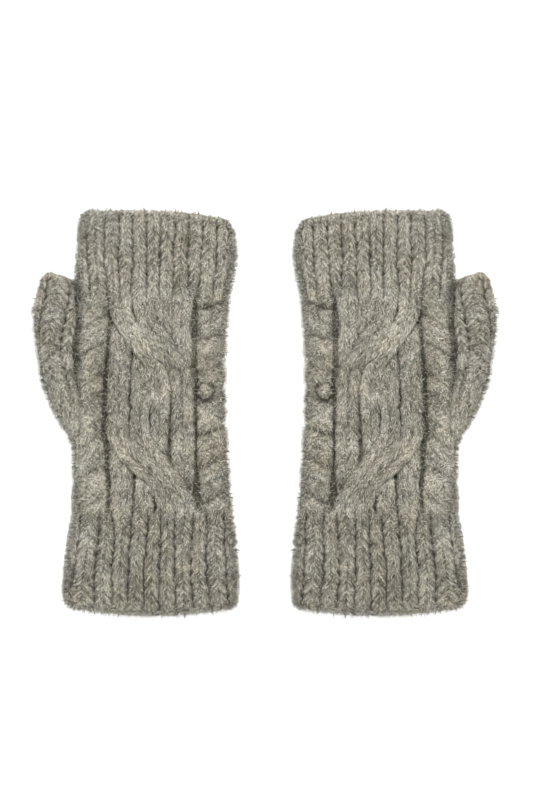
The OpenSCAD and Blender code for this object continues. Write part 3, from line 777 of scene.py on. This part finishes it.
# ---------------------------------------------------------------------------------------------
# Nap: the brushed yarn's own hairs, each a thin closed needle lying along its stitch
# ---------------------------------------------------------------------------------------------
def needles(name, root, along, normal, length, radius, tone, rng, lift_deg, bend_share=0.4, jitter=0.42):
    n = len(root)
    nrm = normal / np.maximum(np.linalg.norm(normal, axis=1, keepdims=True), 1e-9)
    al = along - nrm * np.sum(along * nrm, 1, keepdims=True)
    al /= np.maximum(np.linalg.norm(al, axis=1, keepdims=True), 1e-9)
    side = np.cross(nrm, al)
    stray = rng.random(n) < 0.12
    j = np.where(stray, rng.normal(0, 1.1, n), rng.normal(0, jitter, n))[:, None]
    lift_deg = np.where(stray, lift_deg + rng.uniform(3, 22, n), lift_deg)
    flip = np.where(rng.random(n) < 0.5, 1.0, -1.0)[:, None]
    d = (al * np.cos(j) + side * np.sin(j)) * flip
    s = np.cross(nrm, d)
    ph = np.radians(lift_deg)[:, None]
    up1 = ph + 0.10
    up2 = ph - np.radians(rng.normal(14, 12, n))[:, None]
    turn = rng.normal(0, 0.60, n)[:, None]
    d2 = d * np.cos(turn) + s * np.sin(turn)
    L = length[:, None]
    r = radius[:, None]
    root = root - nrm * 0.15
    bent = rng.random(n) < bend_share
    mid = root + (d * np.cos(up1) + nrm * np.sin(up1)) * L * 0.5
    tip_b = mid + (d2 * np.cos(up2) + nrm * np.sin(up2)) * L * 0.5
    tip_s = root + (d * np.cos(ph) + nrm * np.sin(ph)) * L
    out_co, out_f, out_t, out_uv = [], [], [], []
    base = 0
    ring = [(1.0, 0.0), (-0.5, 0.75), (-0.5, -0.75)]
    for sel, kind in ((bent, 1), (~bent, 0)):
        k = int(sel.sum())
        if not k:
            continue
        R, S, N = root[sel], s[sel], nrm[sel]
        rad = r[sel]
        v = [R + S * a * rad * 1.25 + N * b * rad * 0.8 for b, a in ring]
        if kind:
            M = mid[sel]
            v += [M + S * a * rad * 1.05 + N * b * rad * 0.7 for b, a in ring]
            v.append(tip_b[sel])
            m = 7
            f = np.array([[0, 1, 4], [0, 4, 3], [1, 2, 5], [1, 5, 4], [2, 0, 3], [2, 3, 5], [3, 4, 6], [4, 5, 6], [5, 3, 6], [0, 2, 1]])
            vv = np.array([0.1, 0.1, 0.1, 0.5, 0.5, 0.5, 0.9])
        else:
            v.append(tip_s[sel])
            m = 4
            f = np.array([[0, 1, 3], [1, 2, 3], [2, 0, 3], [0, 2, 1]])
            vv = np.array([0.1, 0.1, 0.1, 0.9])
        co = np.stack(v, 1).reshape(-1, 3)
        fc = (f[None] + (base + np.arange(k) * m)[:, None, None]).reshape(-1, 3)
        tn = np.repeat(tone[sel], m)
        out_co.append(co)
        out_f.append(fc)
        out_t.append(tn)
        out_uv.append(np.stack([0.02 + 0.96 * tn, np.tile(vv, k)], -1))
        base += k * m
    co = np.concatenate(out_co)
    co[:, 2] = np.maximum(co[:, 2], 0.03)
    return co, np.concatenate(out_f), np.concatenate(out_t), np.concatenate(out_uv)


def fibre_tone(u, y, rng, seed):
    """Each hair's own shade: the marl is a mix of cream, mid and charcoal hairs."""
    k = rng.random(len(u))
    own = np.where(k < 0.36, -0.45, np.where(k < 0.66, 0.0, np.where(k < 0.90, 0.36, 0.72)))
    return np.clip(tone_at(u, y, seed) + own + rng.normal(0, 0.06, len(u)), 0.0, 1.0)


NAP = {}


def nap_patch(group, kind, y0, y1, u_lo, u_hi, density, seed, length=(1.3, 3.0), radius=0.132, lift=(9, 7), groove_keep=0.17, jitter=0.32):
    """Scatters hairs over part of a tube's outer surface; they join the named group's arrays."""
    rng = np.random.default_rng(seed)
    yy = np.linspace(min(y0, y1), max(y0, y1), 400)
    w = u_hi(yy) - u_lo(yy)
    area = np.mean(w) * abs(y1 - y0)
    n = int(area * density * (1.0))
    y = np.interp(rng.random(n), np.cumsum(w) / np.sum(w), yy)
    a, b = u_lo(y), u_hi(y)
    u = a + (b - a) * rng.random(n)
    warp = WARPS[kind]
    p, nb, t, up, streak = surface(kind, u, y, warp)
    keep = rng.random(n) < groove_keep + (1 - groove_keep) * np.clip(up, 0, 1)
    u, y, p, nb, t, up, streak = u[keep], y[keep], p[keep], nb[keep], t[keep], up[keep], streak[keep]
    e = 0.35
    pu = surface(kind, u + e, y, warp)[0] - p
    pv = surface(kind, u, y + e, warp)[0] - p
    nr = np.cross(pu, pv)
    nr /= np.maximum(np.linalg.norm(nr, axis=1, keepdims=True), 1e-9)
    nr = np.where(np.sum(nr * nb, 1, keepdims=True) < 0, -nr, nr)
    nr = nr * 0.55 + nb * 0.45
    m = len(u)
    uc = np.clip(up, 0, 1)
    ln = rng.uniform(length[0], length[1], m) * (0.50 + 0.50 * uc)
    lf = np.clip(np.abs(rng.normal(lift[0], lift[1], m)), 2, 75)
    dark = crease_shade(kind, u, y)
    tn = fibre_tone(u, y, rng, 1)
    # hair colour: painted light on the outer folds, painted shade down in the grooves (low 'raised') and in the thumb
    # crease; the streak carries the crossing strands' painted highlight
    tn = np.clip(tn + 0.09 * streak + fold_painted_light(kind, u, y) - 0.26 * (1 - uc) - 0.28 * dark, 0, 1)
    NAP.setdefault(group, []).append(needles("x", p, t, nr, ln, np.full(m, radius) * rng.uniform(0.6, 1.3, m), tn, rng, lf, jitter=jitter * (1 - 0.45 * drawn(u, y)) if group == "hand_nap_centre" else jitter))


def halo_patch(group, kind, y0, y1, u_lo, u_hi, count, seed, length=(3.5, 8.0), radius=0.06, lift=(42, 20), shade=0.0):
    rng = np.random.default_rng(seed)
    n = int(count * (1.0))
    y = rng.uniform(min(y0, y1), max(y0, y1), n)
    a, b = u_lo(y), u_hi(y)
    u = a + (b - a) * rng.random(n)
    p, nb, t, up, streak = surface(kind, u, y, WARPS[kind])
    ln = rng.uniform(length[0], length[1], n) * rng.uniform(0.6, 1, n)
    lf = np.clip(rng.normal(lift[0], lift[1], n), 8, 88)
    # halo hairs in the thumb crease are darkened, a painted shade
    tn = np.clip(fibre_tone(u, y, rng, 1) + shade - 0.28 * crease_shade(kind, u, y), 0, 1)
    NAP.setdefault(group, []).append(needles("x", p, t, nb, ln, np.full(n, radius) * rng.uniform(0.8, 1.3, n), tn, rng, lf, bend_share=0.85, jitter=1.0))


def rim_nap(group, kind, edge, y_at, count, seed, length=(1.6, 3.6), radius=0.13, sgn=1.0, shade=0.0, lift=(24, 14)):
    """Hairs on a rolled edge, pointing out all round it."""
    rng = np.random.default_rng(seed)
    n = int(count * (1.0))
    xl, xr = EDGES[kind](np.array([y_at]))
    ul, ur = loop_ends(xl, xr)
    u = rng.uniform(ul[0], ur[0], n)
    x, z, nx, nz, under = loop_point(u, np.full(n, xl[0]), np.full(n, xr[0]))
    psi = rng.uniform(-0.35, 2.6, n)
    cn, sn = np.cos(psi), np.sin(psi)
    nrm = np.stack([nx * cn, sgn * sn, nz * cn], -1)
    r = 2.05
    k = r + slim(kind, nx, np.full(n, y_at))
    p = np.stack([x - nx * k, edge(x, under) - sgn * r, z - nz * k], -1) + nrm * r
    p[:, 2] = np.maximum(p[:, 2], 0.1)
    al = np.stack([nz, 0.35 * np.ones(n), -nx], -1)
    ln = rng.uniform(length[0], length[1], n)
    lf = np.clip(rng.normal(lift[0], lift[1], n), 3, 85)
    tn = np.clip(fibre_tone(u, np.full(n, y_at), rng, 1) + shade, 0, 1)
    NAP.setdefault(group, []).append(needles("x", p, al, nrm, ln, np.full(n, radius) * rng.uniform(0.75, 1.25, n), tn, rng, lf, jitter=0.8))


def inside_nap(group, kind, y0, y1, count, seed, under_only=True):
    """Hairs on the inside of an opening, where it shows."""
    rng = np.random.default_rng(seed)
    n = int(count * (1.0))
    y = rng.uniform(min(y0, y1), max(y0, y1), n)
    xl, xr = EDGES[kind](y)
    ul, ur = loop_ends(xl, xr)
    u = ul + (ur - ul) * rng.random(n)
    x, z, nx, nz, under = loop_point(u, xl, xr)
    warp = WARPS[kind]
    yy = y if warp is None else warp(x, y, under)
    k = 3.7 + slim(kind, nx, y)
    p = np.stack([x - nx * k, yy, z - nz * k], -1)
    nrm = -np.stack([nx, 0 * nx, nz], -1)
    al = np.stack([0.3 * nz, np.ones(n), -0.3 * nx], -1)
    NAP.setdefault(group, []).append(needles("x", p, al, nrm, rng.uniform(1.6, 3.2, n), np.full(n, 0.15), fibre_tone(u, y, rng, 4), rng, np.full(n, 12.0), jitter=0.7))


# ---------------------------------------------------------------------------------------------
# Materials
# ---------------------------------------------------------------------------------------------
RAMP = [(0.00, (0.050, 0.0460, 0.0335)), (0.22, (0.128, 0.1203, 0.0955)), (0.45, (0.265, 0.2510, 0.2090)),
        (0.66, (0.430, 0.4085, 0.3465)), (0.86, (0.650, 0.6190, 0.5330)), (1.00, (0.850, 0.8120, 0.7100))]


def wool(name, kind):
    m = bpy.data.materials.new(name)
    m.use_nodes = True
    nt = m.node_tree
    b = nt.nodes["Principled BSDF"]
    b.inputs["Roughness"].default_value = 0.92
    b.inputs["Sheen Weight"].default_value = 0.18 if kind != "nap" else 0.10
    b.inputs["Sheen Roughness"].default_value = 0.5
    b.inputs["Sheen Tint"].default_value = (0.95, 0.92, 0.85, 1)
    b.inputs["Specular IOR Level"].default_value = 0.22
    N, L = nt.nodes.new, nt.links.new
    at = N("ShaderNodeAttribute")
    at.attribute_name = "tone"
    ramp = N("ShaderNodeValToRGB")
    el = ramp.color_ramp.elements
    while len(el) > 1:
        el.remove(el[-1])
    el[0].position, el[0].color = RAMP[0][0], (*RAMP[0][1], 1)
    for pos, col in RAMP[1:]:
        e = el.new(pos)
        e.color = (*col, 1)
    wa = N("ShaderNodeAttribute")
    wa.attribute_name = "warm"
    tint = N("ShaderNodeMix")
    tint.data_type = "RGBA"
    tint.inputs["A"].default_value = (0.972, 1.000, 1.025, 1)
    tint.inputs["B"].default_value = (1.018, 1.000, 0.948, 1)
    L(wa.outputs["Fac"], tint.inputs["Factor"])
    mul = N("ShaderNodeMix")
    mul.data_type = "RGBA"
    mul.blend_type = "MULTIPLY"
    mul.inputs["Factor"].default_value = 1.0
    L(ramp.outputs["Color"], mul.inputs["A"])
    L(tint.outputs["Result"], mul.inputs["B"])
    L(mul.outputs["Result"], b.inputs["Base Color"])
    if kind == "nap":
        L(at.outputs["Fac"], ramp.inputs["Fac"])
        return m
    tc = N("ShaderNodeTexCoord")
    fine = N("ShaderNodeTexNoise")
    fine.inputs["Scale"].default_value = 1500.0
    fine.inputs["Detail"].default_value = 3.0
    fine.inputs["Roughness"].default_value = 0.7
    mp = N("ShaderNodeMapping")
    mp.inputs["Scale"].default_value = (1.0, 0.35, 1.0)
    L(tc.outputs["Object"], mp.inputs["Vector"])
    L(mp.outputs["Vector"], fine.inputs["Vector"])
    # tone + fibre speckle; painted shade: the colour is darkened where 'raised' is low, down in the grooves and creases
    sub = N("ShaderNodeMath")
    sub.operation = "MULTIPLY_ADD"
    L(fine.outputs["Fac"], sub.inputs[0])
    sub.inputs[1].default_value = 0.95
    sub.inputs[2].default_value = -0.56
    add = N("ShaderNodeMath")
    add.operation = "ADD"
    L(at.outputs["Fac"], add.inputs[0])
    L(sub.outputs[0], add.inputs[1])
    ra = N("ShaderNodeAttribute")
    ra.attribute_name = "raised"
    gr = N("ShaderNodeMapRange")
    gr.inputs["From Min"].default_value = 0.0
    gr.inputs["From Max"].default_value = 0.8
    gr.inputs["To Min"].default_value = -0.32
    gr.inputs["To Max"].default_value = 0.0
    L(ra.outputs["Fac"], gr.inputs["Value"])
    tot = N("ShaderNodeMath")
    tot.operation = "ADD"
    L(add.outputs[0], tot.inputs[0])
    L(gr.outputs["Result"], tot.inputs[1])
    L(tot.outputs[0], ramp.inputs["Fac"])
    rr = N("ShaderNodeMapRange")
    rr.inputs["To Min"].default_value = 0.84
    rr.inputs["To Max"].default_value = 0.98
    L(fine.outputs["Fac"], rr.inputs["Value"])
    L(rr.outputs["Result"], b.inputs["Roughness"])
    fib = N("ShaderNodeTexNoise")
    fib.inputs["Scale"].default_value = 2600.0
    fib.inputs["Detail"].default_value = 2.0
    L(tc.outputs["Object"], fib.inputs["Vector"])
    bp = N("ShaderNodeBump")
    bp.inputs["Strength"].default_value = 0.6
    bp.inputs["Distance"].default_value = 0.0003
    L(fib.outputs["Fac"], bp.inputs["Height"])
    L(bp.outputs["Normal"], b.inputs["Normal"])
    return m


MATS = {k: wool(n, k) for k, n in (("rib", "wool_rib"), ("ground", "wool_ground"), ("cable", "wool_cable"),
                                   ("edge", "wool_edge"), ("seam", "wool_seam"), ("nap", "wool_nap"))}

# ---------------------------------------------------------------------------------------------
# Left glove in its own frame, millimetres
# ---------------------------------------------------------------------------------------------
LEFT = []          # (piece, name, material, nodes, motion)


def add(ob, name, mat, nodes, motion):
    LEFT.append((ob, name, mat, nodes, motion))


def hu(f):
    """u-line on the hand: f(y, xl, xr, fold)."""
    def g(y):
        xl, xr = hand_edges(y)
        return f(y, xl, xr)
    return g


def line_a(y, xl, xr):        # groove between thumb-side rope and centre cable
    P = 413.5 - y / G
    return gx(smooth_interp(P, [284, 300, 320, 340, 380, 400, 430, 450, 475, 500, 530], [107, 109, 110.5, 108.7, 105.3, 104.5, 104.6, 107, 109, 109.5, 106]))


def line_b(y, xl, xr):        # groove between centre cable and little-side rope
    P = 413.5 - y / G
    return gx(smooth_interp(P, [284, 300, 367, 385, 460, 485, 510, 530], [192, 195, 196, 197, 197, 199, 203, 199]))


u_left_out = hu(lambda y, xl, xr: xl + FOLD - ARC * 0.62)
u_right_out = hu(lambda y, xl, xr: xr - FOLD + ARC * 0.62)
u_a, u_b = hu(line_a), hu(line_b)
u_under_l = hu(lambda y, xl, xr: loop_ends(xl, xr)[0])
u_under_r = hu(lambda y, xl, xr: loop_ends(xl, xr)[1])

Y0, Y1 = Y_WRIST, Y_KNUCKLE
FINE = 0.46
add(patch_piece("centre_cable", "hand", Y0, Y1, u_a, u_b, FINE, FINE, 3.2), "centre_cable", "cable", ["centre_cable"], "hand")
add(patch_piece("thumb_side_rope", "hand", Y0, Y1, u_left_out, u_a, FINE, FINE, 3.2), "thumb_side_rope", "cable", ["thumb_side_rope"], "hand")
add(patch_piece("little_side_rope", "hand", Y0, Y1, u_b, u_right_out, FINE, FINE, 3.2), "little_side_rope", "cable", ["little_side_rope"], "hand")


def back_ground(name):
    """Ground fabric of the back with both folds; it dips under the cables that stand on it."""
    y = rows_between(Y0, Y1, 0.9, 2)
    xl, xr = hand_edges(y)
    a, b = xl + FOLD - ARC, xr - FOLD + ARC
    nu = int(math.ceil(np.max(b - a) / 0.75 / 2)) * 2 + 1
    U = a[:, None] + (b - a)[:, None] * np.linspace(0, 1, nu)[None, :]
    Y = np.repeat(y[:, None], nu, 1)
    lo, hi = u_left_out(Y), u_right_out(Y)
    dip = -1.6 * sstep(0.0, 1.2, U - lo) * sstep(0.0, 1.2, hi - U)
    p, up, tone = skin_grid("hand", U, Y, dip)
    pi, upi, ti = inner_grid("hand", U[::2, ::2], Y[::2, ::2])
    return shell(name, p, pi, False, {"raised": up, "tone": tone}, {"raised": upi, "tone": ti}, False, 2)


def palm_ground(name):
    y = rows_between(Y0, Y1, 0.7, 2)
    xl, xr = hand_edges(y)
    a = xr - FOLD + ARC
    b = a + (xr - xl) - 2 * FOLD
    nu = int(math.ceil(np.max(b - a) / 0.6 / 2)) * 2 + 1
    U = a[:, None] + (b - a)[:, None] * np.linspace(0, 1, nu)[None, :]
    Y = np.repeat(y[:, None], nu, 1)
    p, up, tone = skin_grid("hand", U, Y)
    pi, upi, ti = inner_grid("hand", U[::2, ::2], Y[::2, ::2])
    return shell(name, p, pi, False, {"raised": up, "tone": tone}, {"raised": upi, "tone": ti}, False, 2)


def seam_piece(name, node):
    """A linked seam: a flat chain of stitches along the strip that the CAD holds."""
    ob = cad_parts[node]
    co = np.array([v.co[:] for v in ob.data.vertices]) * 1000
    co[:, 0] += PAIR
    ys = np.linspace(co[:, 1].min() + 0.4, co[:, 1].max() - 0.4, 260)
    order = np.argsort(co[:, 1])
    c = co[order]
    mids = []
    for q in ys:
        near = c[np.abs(c[:, 1] - q) < 7.0]
        if len(near) < 2:
            near = c[np.argsort(np.abs(c[:, 1] - q))[:4]]
        wgt = 1 / (0.6 + np.abs(near[:, 1] - q))
        lo, hi = near[:, 0] <= np.average(near[:, 0], weights=wgt), near[:, 0] > np.average(near[:, 0], weights=wgt)
        a = np.average(near[lo, 0], weights=wgt[lo]) if lo.any() else near[:, 0].mean()
        b = np.average(near[hi, 0], weights=wgt[hi]) if hi.any() else near[:, 0].mean()
        mids.append((a, b))
    mids = np.array(mids)
    for k in range(2):
        mids[:, k] = np.convolve(np.pad(mids[:, k], 12, mode="edge"), np.ones(25) / 25, mode="valid")
    z0, z1 = co[:, 2].min(), co[:, 2].max()
    n = 12
    psi = np.arange(n) / n * 2 * np.pi
    mid, hw = mids.mean(1), np.maximum((mids[:, 1] - mids[:, 0]) / 2, 0.5)
    chain = 0.72 + 0.28 * np.abs(np.sin(np.pi * ys / 3.4)) ** 0.6
    mid = mid + {"thumb_side_seam": 1.6, "little_side_seam": -1.6}.get(name, 0.0)
    X = mid[:, None] + (hw * chain)[:, None] * np.cos(psi)[None, :]
    Z = (z0 + z1) / 2 + 0.25 + ((z1 - z0) / 2 + 0.2) * chain[:, None] * np.sin(psi)[None, :]
    Y = np.repeat(ys[:, None], n, 1) + 0.8 * np.cos(psi)[None, :] ** 2
    co2 = np.stack([X, Y, Z], -1).reshape(-1, 3)
    q = grid_faces(len(ys), n, 0, True, True)
    polys = [list(range(n)), list(range((len(ys) - 1) * n, len(ys) * n))[::-1]]
    uv = np.stack([np.repeat(np.linspace(0.01, 0.99, len(ys))[:, None], n, 1), np.repeat(np.linspace(0.01, 0.99, n)[None, :], len(ys), 0)], -1).reshape(-1, 2)
    return new_mesh(name, co2, [q], polys, {"raised": np.repeat(chain, n), "tone": np.clip(tone_at(X.ravel(), Y.ravel(), 2), 0, 1)}, uv)


add(back_ground("back_panel"), "back_panel", "ground", ["back_panel"], "hand")
add(palm_ground("palm_panel"), "palm_panel", "ground", ["palm_panel"], "hand")
D = 0.5
add(tube_piece("finger_rib", "finger", Y_KNUCKLE, 112.2, D, D), "finger_rib", "rib", ["finger_rib"], "fingers")
add(tube_piece("wrist_rib", "wrist", Y_WRIST, -112.2, D, D), "wrist_rib", "rib", ["wrist_rib"], "cuff")
add(tube_piece("thumb_gusset", "thumb", -28.0, Y_THUMB, D, D), "thumb_gusset", "ground", ["thumb_gusset"], "hand")
add(tube_piece("thumb_sleeve", "thumb", Y_THUMB, 78.0, D, D), "thumb_sleeve", "rib", ["thumb_sleeve"], "thumb")
add(rim_piece("bind_off_edge", "finger", high_edge, 110.5, 3), "bind_off_edge", "edge", ["bind_off_edge"], "fingers")
add(rim_piece("cast_on_edge", "wrist", low_edge, -110.5, 4), "cast_on_edge", "edge", ["cast_on_edge"], "cuff")
add(rim_piece("thumb_bind_off", "thumb", thumb_edge, 77.0, 5), "thumb_bind_off", "edge", ["thumb_bind_off"], "thumb")
for seam in ("thumb_side_seam", "little_side_seam", "thumb_join_seam"):
    add(seam_piece(seam, "left_" + seam), seam, "seam", [seam], "hand")

# nap
DEN = 3.4
u_top_l = hu(lambda y, xl, xr: xl + FOLD - ARC * 0.62)
u_top_r = hu(lambda y, xl, xr: xr - FOLD + ARC * 0.62)
u_all_l = hu(lambda y, xl, xr: xr - FOLD + ARC * 0.62)
u_all_r = hu(lambda y, xl, xr: xr - FOLD + ARC * 1.38 + (xr - xl - 2 * FOLD))
nap_patch("hand_nap_centre", "hand", Y0, Y1, u_a, u_b, DEN, 101, jitter=0.60, length=(1.3, 3.0), radius=0.136)
nap_patch("hand_nap_sides", "hand", Y0, Y1, u_top_l, u_a, DEN, 102, jitter=0.75, length=(1.3, 3.0), radius=0.136)
nap_patch("hand_nap_sides", "hand", Y0, Y1, u_b, u_top_r, DEN, 103, jitter=0.75, length=(1.3, 3.0), radius=0.136)
nap_patch("hand_nap_palm", "hand", Y0, Y1, u_all_l, u_all_r, DEN * 0.42, 104, radius=0.17)
nap_patch("cuff_nap", "wrist", Y_WRIST, -112.0, u_top_l, u_top_r, DEN, 105)
nap_patch("cuff_nap_palm", "wrist", Y_WRIST, -112.0, u_all_l, u_all_r, DEN * 0.42, 106, radius=0.17)
nap_patch("finger_nap", "finger", Y_KNUCKLE, 112.0, u_top_l, u_top_r, DEN, 107)
nap_patch("finger_nap_palm", "finger", Y_KNUCKLE, 112.0, u_all_l, u_all_r, DEN * 0.42, 108, radius=0.17)


def tu(f):
    def g(y):
        xl, xr = tube_edges(y)
        return f(y, xl, xr)
    return g


t_full = (tu(lambda y, xl, xr: loop_ends(xl, xr)[0]), tu(lambda y, xl, xr: loop_ends(xl, xr)[1]))
t_top = (tu(lambda y, xl, xr: xl + fold_of(xl, xr) - ARC * 0.62), tu(lambda y, xl, xr: xr - fold_of(xl, xr) + ARC * 0.62))
t_gus = (tu(lambda y, xl, xr: xl + fold_of(xl, xr) - ARC * 0.62), tu(lambda y, xl, xr: np.minimum(xr - fold_of(xl, xr) * 0.4, -40.5 + 0 * y)))
nap_patch("thumb_nap", "thumb", Y_THUMB, 77.5, *t_full, DEN, 109, jitter=0.5)
nap_patch("gusset_nap", "thumb", -19.0, Y_THUMB, *t_full, DEN * 0.9, 110, jitter=0.9)
rim_nap("finger_nap", "finger", high_edge, 110.5, 2600, 111, length=(1.6, 4.2), radius=0.110, shade=0.14, lift=(26, 18))
# the cuff edge's hairs are lifted 0.22: partly their paler colour, partly painted light for the shade at the wrist edge
rim_nap("cuff_nap", "wrist", low_edge, -110.5, 4400, 112, sgn=-1.0, length=(1.8, 5.2), radius=0.115, shade=0.22, lift=(28, 18))
rim_nap("thumb_nap", "thumb", thumb_edge, 77.0, 900, 113)
inside_nap("finger_nap_palm", "finger", 100.0, 111.0, 900, 114)
inside_nap("cuff_nap_palm", "wrist", -100.0, -111.0, 900, 115)
inside_nap("thumb_nap", "thumb", 68.0, 76.5, 350, 116)


def fold_lines(edges, side):
    """The outer face of one fold, where hairs show against the light."""
    def lo(y):
        xl, xr = edges(y)
        a = fold_of(xl, xr)
        return xl + a - ARC * 0.72 if side < 0 else xr - a + ARC * 0.12

    def hi(y):
        xl, xr = edges(y)
        a = fold_of(xl, xr)
        return xl + a - ARC * 0.12 if side < 0 else xr - a + ARC * 0.72
    return lo, hi


for n, (group, kind, ya, yb, edges, count) in enumerate((
        ("hand_nap_sides", "hand", Y0, Y1, hand_edges, 1500), ("cuff_nap", "wrist", Y_WRIST, -112.0, hand_edges, 800),
        ("finger_nap", "finger", Y_KNUCKLE, 112.0, hand_edges, 520), ("thumb_nap", "thumb", Y_THUMB, 77.0, tube_edges, 420),
        ("gusset_nap", "thumb", -17.0, Y_THUMB, tube_edges, 420))):
    for side in (-1, 1):
        if kind == "thumb" and side > 0:
            continue
        halo_patch(group, kind, ya, yb, *fold_lines(edges, side), int(count * 1.9), 130 + 2 * n + side, length=(2.8, 7.6), radius=0.088, lift=(52, 18), shade=0.07)
        halo_patch(group, kind, ya, yb, *fold_lines(edges, side), count // 2, 150 + 2 * n + side, length=(4.0, 8.5), radius=0.125, lift=(48, 20), shade=-0.08)
for k, edge in enumerate((u_a, u_b)):
    # hairs along the two deep grooves are painted 0.14 darker: a painted shade in the grooves
    halo_patch("hand_nap_centre", "hand", Y0, Y1, lambda y, e=edge: e(y) - 3.2, lambda y, e=edge: e(y) + 3.2, 620, 180 + k, length=(1.8, 4.0), radius=0.12, lift=(24, 14), shade=-0.14)
halo_patch("hand_nap_centre", "hand", Y0, Y1, u_a, u_b, 260, 170, length=(3.0, 6.0), radius=0.09, lift=(20, 12))
rim_nap("finger_nap", "finger", high_edge, 110.5, 1100, 171, length=(3.0, 7.0), radius=0.125, shade=-0.20, lift=(56, 22))
rim_nap("cuff_nap", "wrist", low_edge, -110.5, 1500, 172, sgn=-1.0, length=(3.0, 8.0), radius=0.115, shade=0.0, lift=(46, 24))
rim_nap("thumb_nap", "thumb", thumb_edge, 77.0, 220, 173, length=(3.0, 6.5), radius=0.115, shade=-0.08, lift=(44, 22))

for group, parts in NAP.items():
    co, fc, tn, uv, base = [], [], [], [], 0
    for c, f, t, w in parts:
        co.append(c)
        fc.append(f + base)
        tn.append(t)
        uv.append(w)
        base += len(c)
    motion = {"hand": "hand", "cuff": "cuff", "finger": "fingers", "thumb": "thumb", "gusset": "hand"}[group.split("_")[0]]
    ob = new_mesh(group, np.concatenate(co), [np.concatenate(fc)], None, {"tone": np.concatenate(tn)}, np.concatenate(uv), warm_fleck=True)
    print("NAP", group, len(ob.data.polygons))
    add(ob, group, "nap", [], motion)


def settle(ob, side, name, mat, nodes, motion):
    pre = "left_" if side < 0 else "right_"
    ob.name = pre + name
    ob.data.name = ob.name
    ob.data.materials.clear()
    ob.data.materials.append(MATS[mat])
    body = pre + "hand"
    if motion == "hand":
        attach(ob, body)
    else:
        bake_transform(ob)
    if nodes:
        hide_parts(*[pre + n for n in nodes])


RIGHT = []
for ob, name, mat, nodes, motion in LEFT:
    me = ob.data.copy()
    twin = bpy.data.objects.new("right_" + name, me)
    SCENE.collection.objects.link(twin)
    n = len(me.vertices)
    co = np.empty(n * 3, np.float32)
    ob.data.vertices.foreach_get("co", co)
    co = co.reshape(-1, 3)
    a = co.copy()
    a[:, 0] -= PAIR / 1000
    ob.data.vertices.foreach_set("co", a.ravel())
    b = co.copy()
    b[:, 0] = -(b[:, 0] - PAIR / 1000)
    me.vertices.foreach_set("co", b.ravel())
    me.flip_normals()
    ob.data.update()
    me.update()
    RIGHT.append((twin, name, mat, nodes, motion))
for side, group in ((-1, LEFT), (1, RIGHT)):
    for ob, name, mat, nodes, motion in group:
        settle(ob, side, name, mat, nodes, motion)

# ---------------------------------------------------------------------------------------------
# Floor, light, camera
# ---------------------------------------------------------------------------------------------
bpy.ops.mesh.primitive_plane_add(size=6.0, location=(0, 0, -0.0004))
floor = bpy.context.object
floor.name = "floor"
fm = bpy.data.materials.new("floor_white")
fm.use_nodes = True
fb = fm.node_tree.nodes["Principled BSDF"]
fb.inputs["Base Color"].default_value = (0.92, 0.92, 0.92, 1)
fb.inputs["Roughness"].default_value = 1.0
fb.inputs["Specular IOR Level"].default_value = 0.0
fb.inputs["Emission Color"].default_value = (1, 1, 1, 1)
fb.inputs["Emission Strength"].default_value = 0.80
floor.data.materials.append(fm)

SCENE.view_settings.view_transform = "Standard"
SCENE.cycles.filter_width = 1.0          # a sharp studio lens
world = bpy.data.worlds.new("studio")
SCENE.world = world
world.use_nodes = True
world.node_tree.nodes["Background"].inputs["Color"].default_value = (1.0, 0.995, 0.985, 1)
world.node_tree.nodes["Background"].inputs["Strength"].default_value = 0.50


def area(name, loc, aim, size, power, col=(1, 1, 1)):
    li = bpy.data.lights.new(name, "AREA")
    li.shape = "SQUARE"
    li.size = size
    li.energy = power
    li.color = col
    ob = bpy.data.objects.new(name, li)
    SCENE.collection.objects.link(ob)
    ob.location = loc
    d = np.array(aim) - np.array(loc)
    from mathutils import Vector
    ob.rotation_euler = Vector(d).to_track_quat("-Z", "Y").to_euler()
    return ob


area("key", (0.0, 0.92, 1.02), (0, 0, 0), 0.42, 14.3, (1.0, 0.992, 0.975))
area("fill_left", (-1.3, -0.05, 0.85), (0, 0, 0), 0.7, 9.45)
area("fill_right", (1.3, -0.05, 0.85), (0, 0, 0), 0.7, 9.45)

cam = bpy.data.cameras.new("camera")
cam_ob = bpy.data.objects.new("camera", cam)
SCENE.collection.objects.link(cam_ob)
DIST = 1.9
cam.sensor_fit = "VERTICAL"
cam.sensor_height = 24.0
cam.lens = 24.0 * (DIST - 0.012) / 0.440
cam.clip_end = 20
cam_ob.location = (0.0008, 0.0074, DIST)
cam_ob.rotation_euler = (0, 0, 0)
SCENE.camera = cam_ob

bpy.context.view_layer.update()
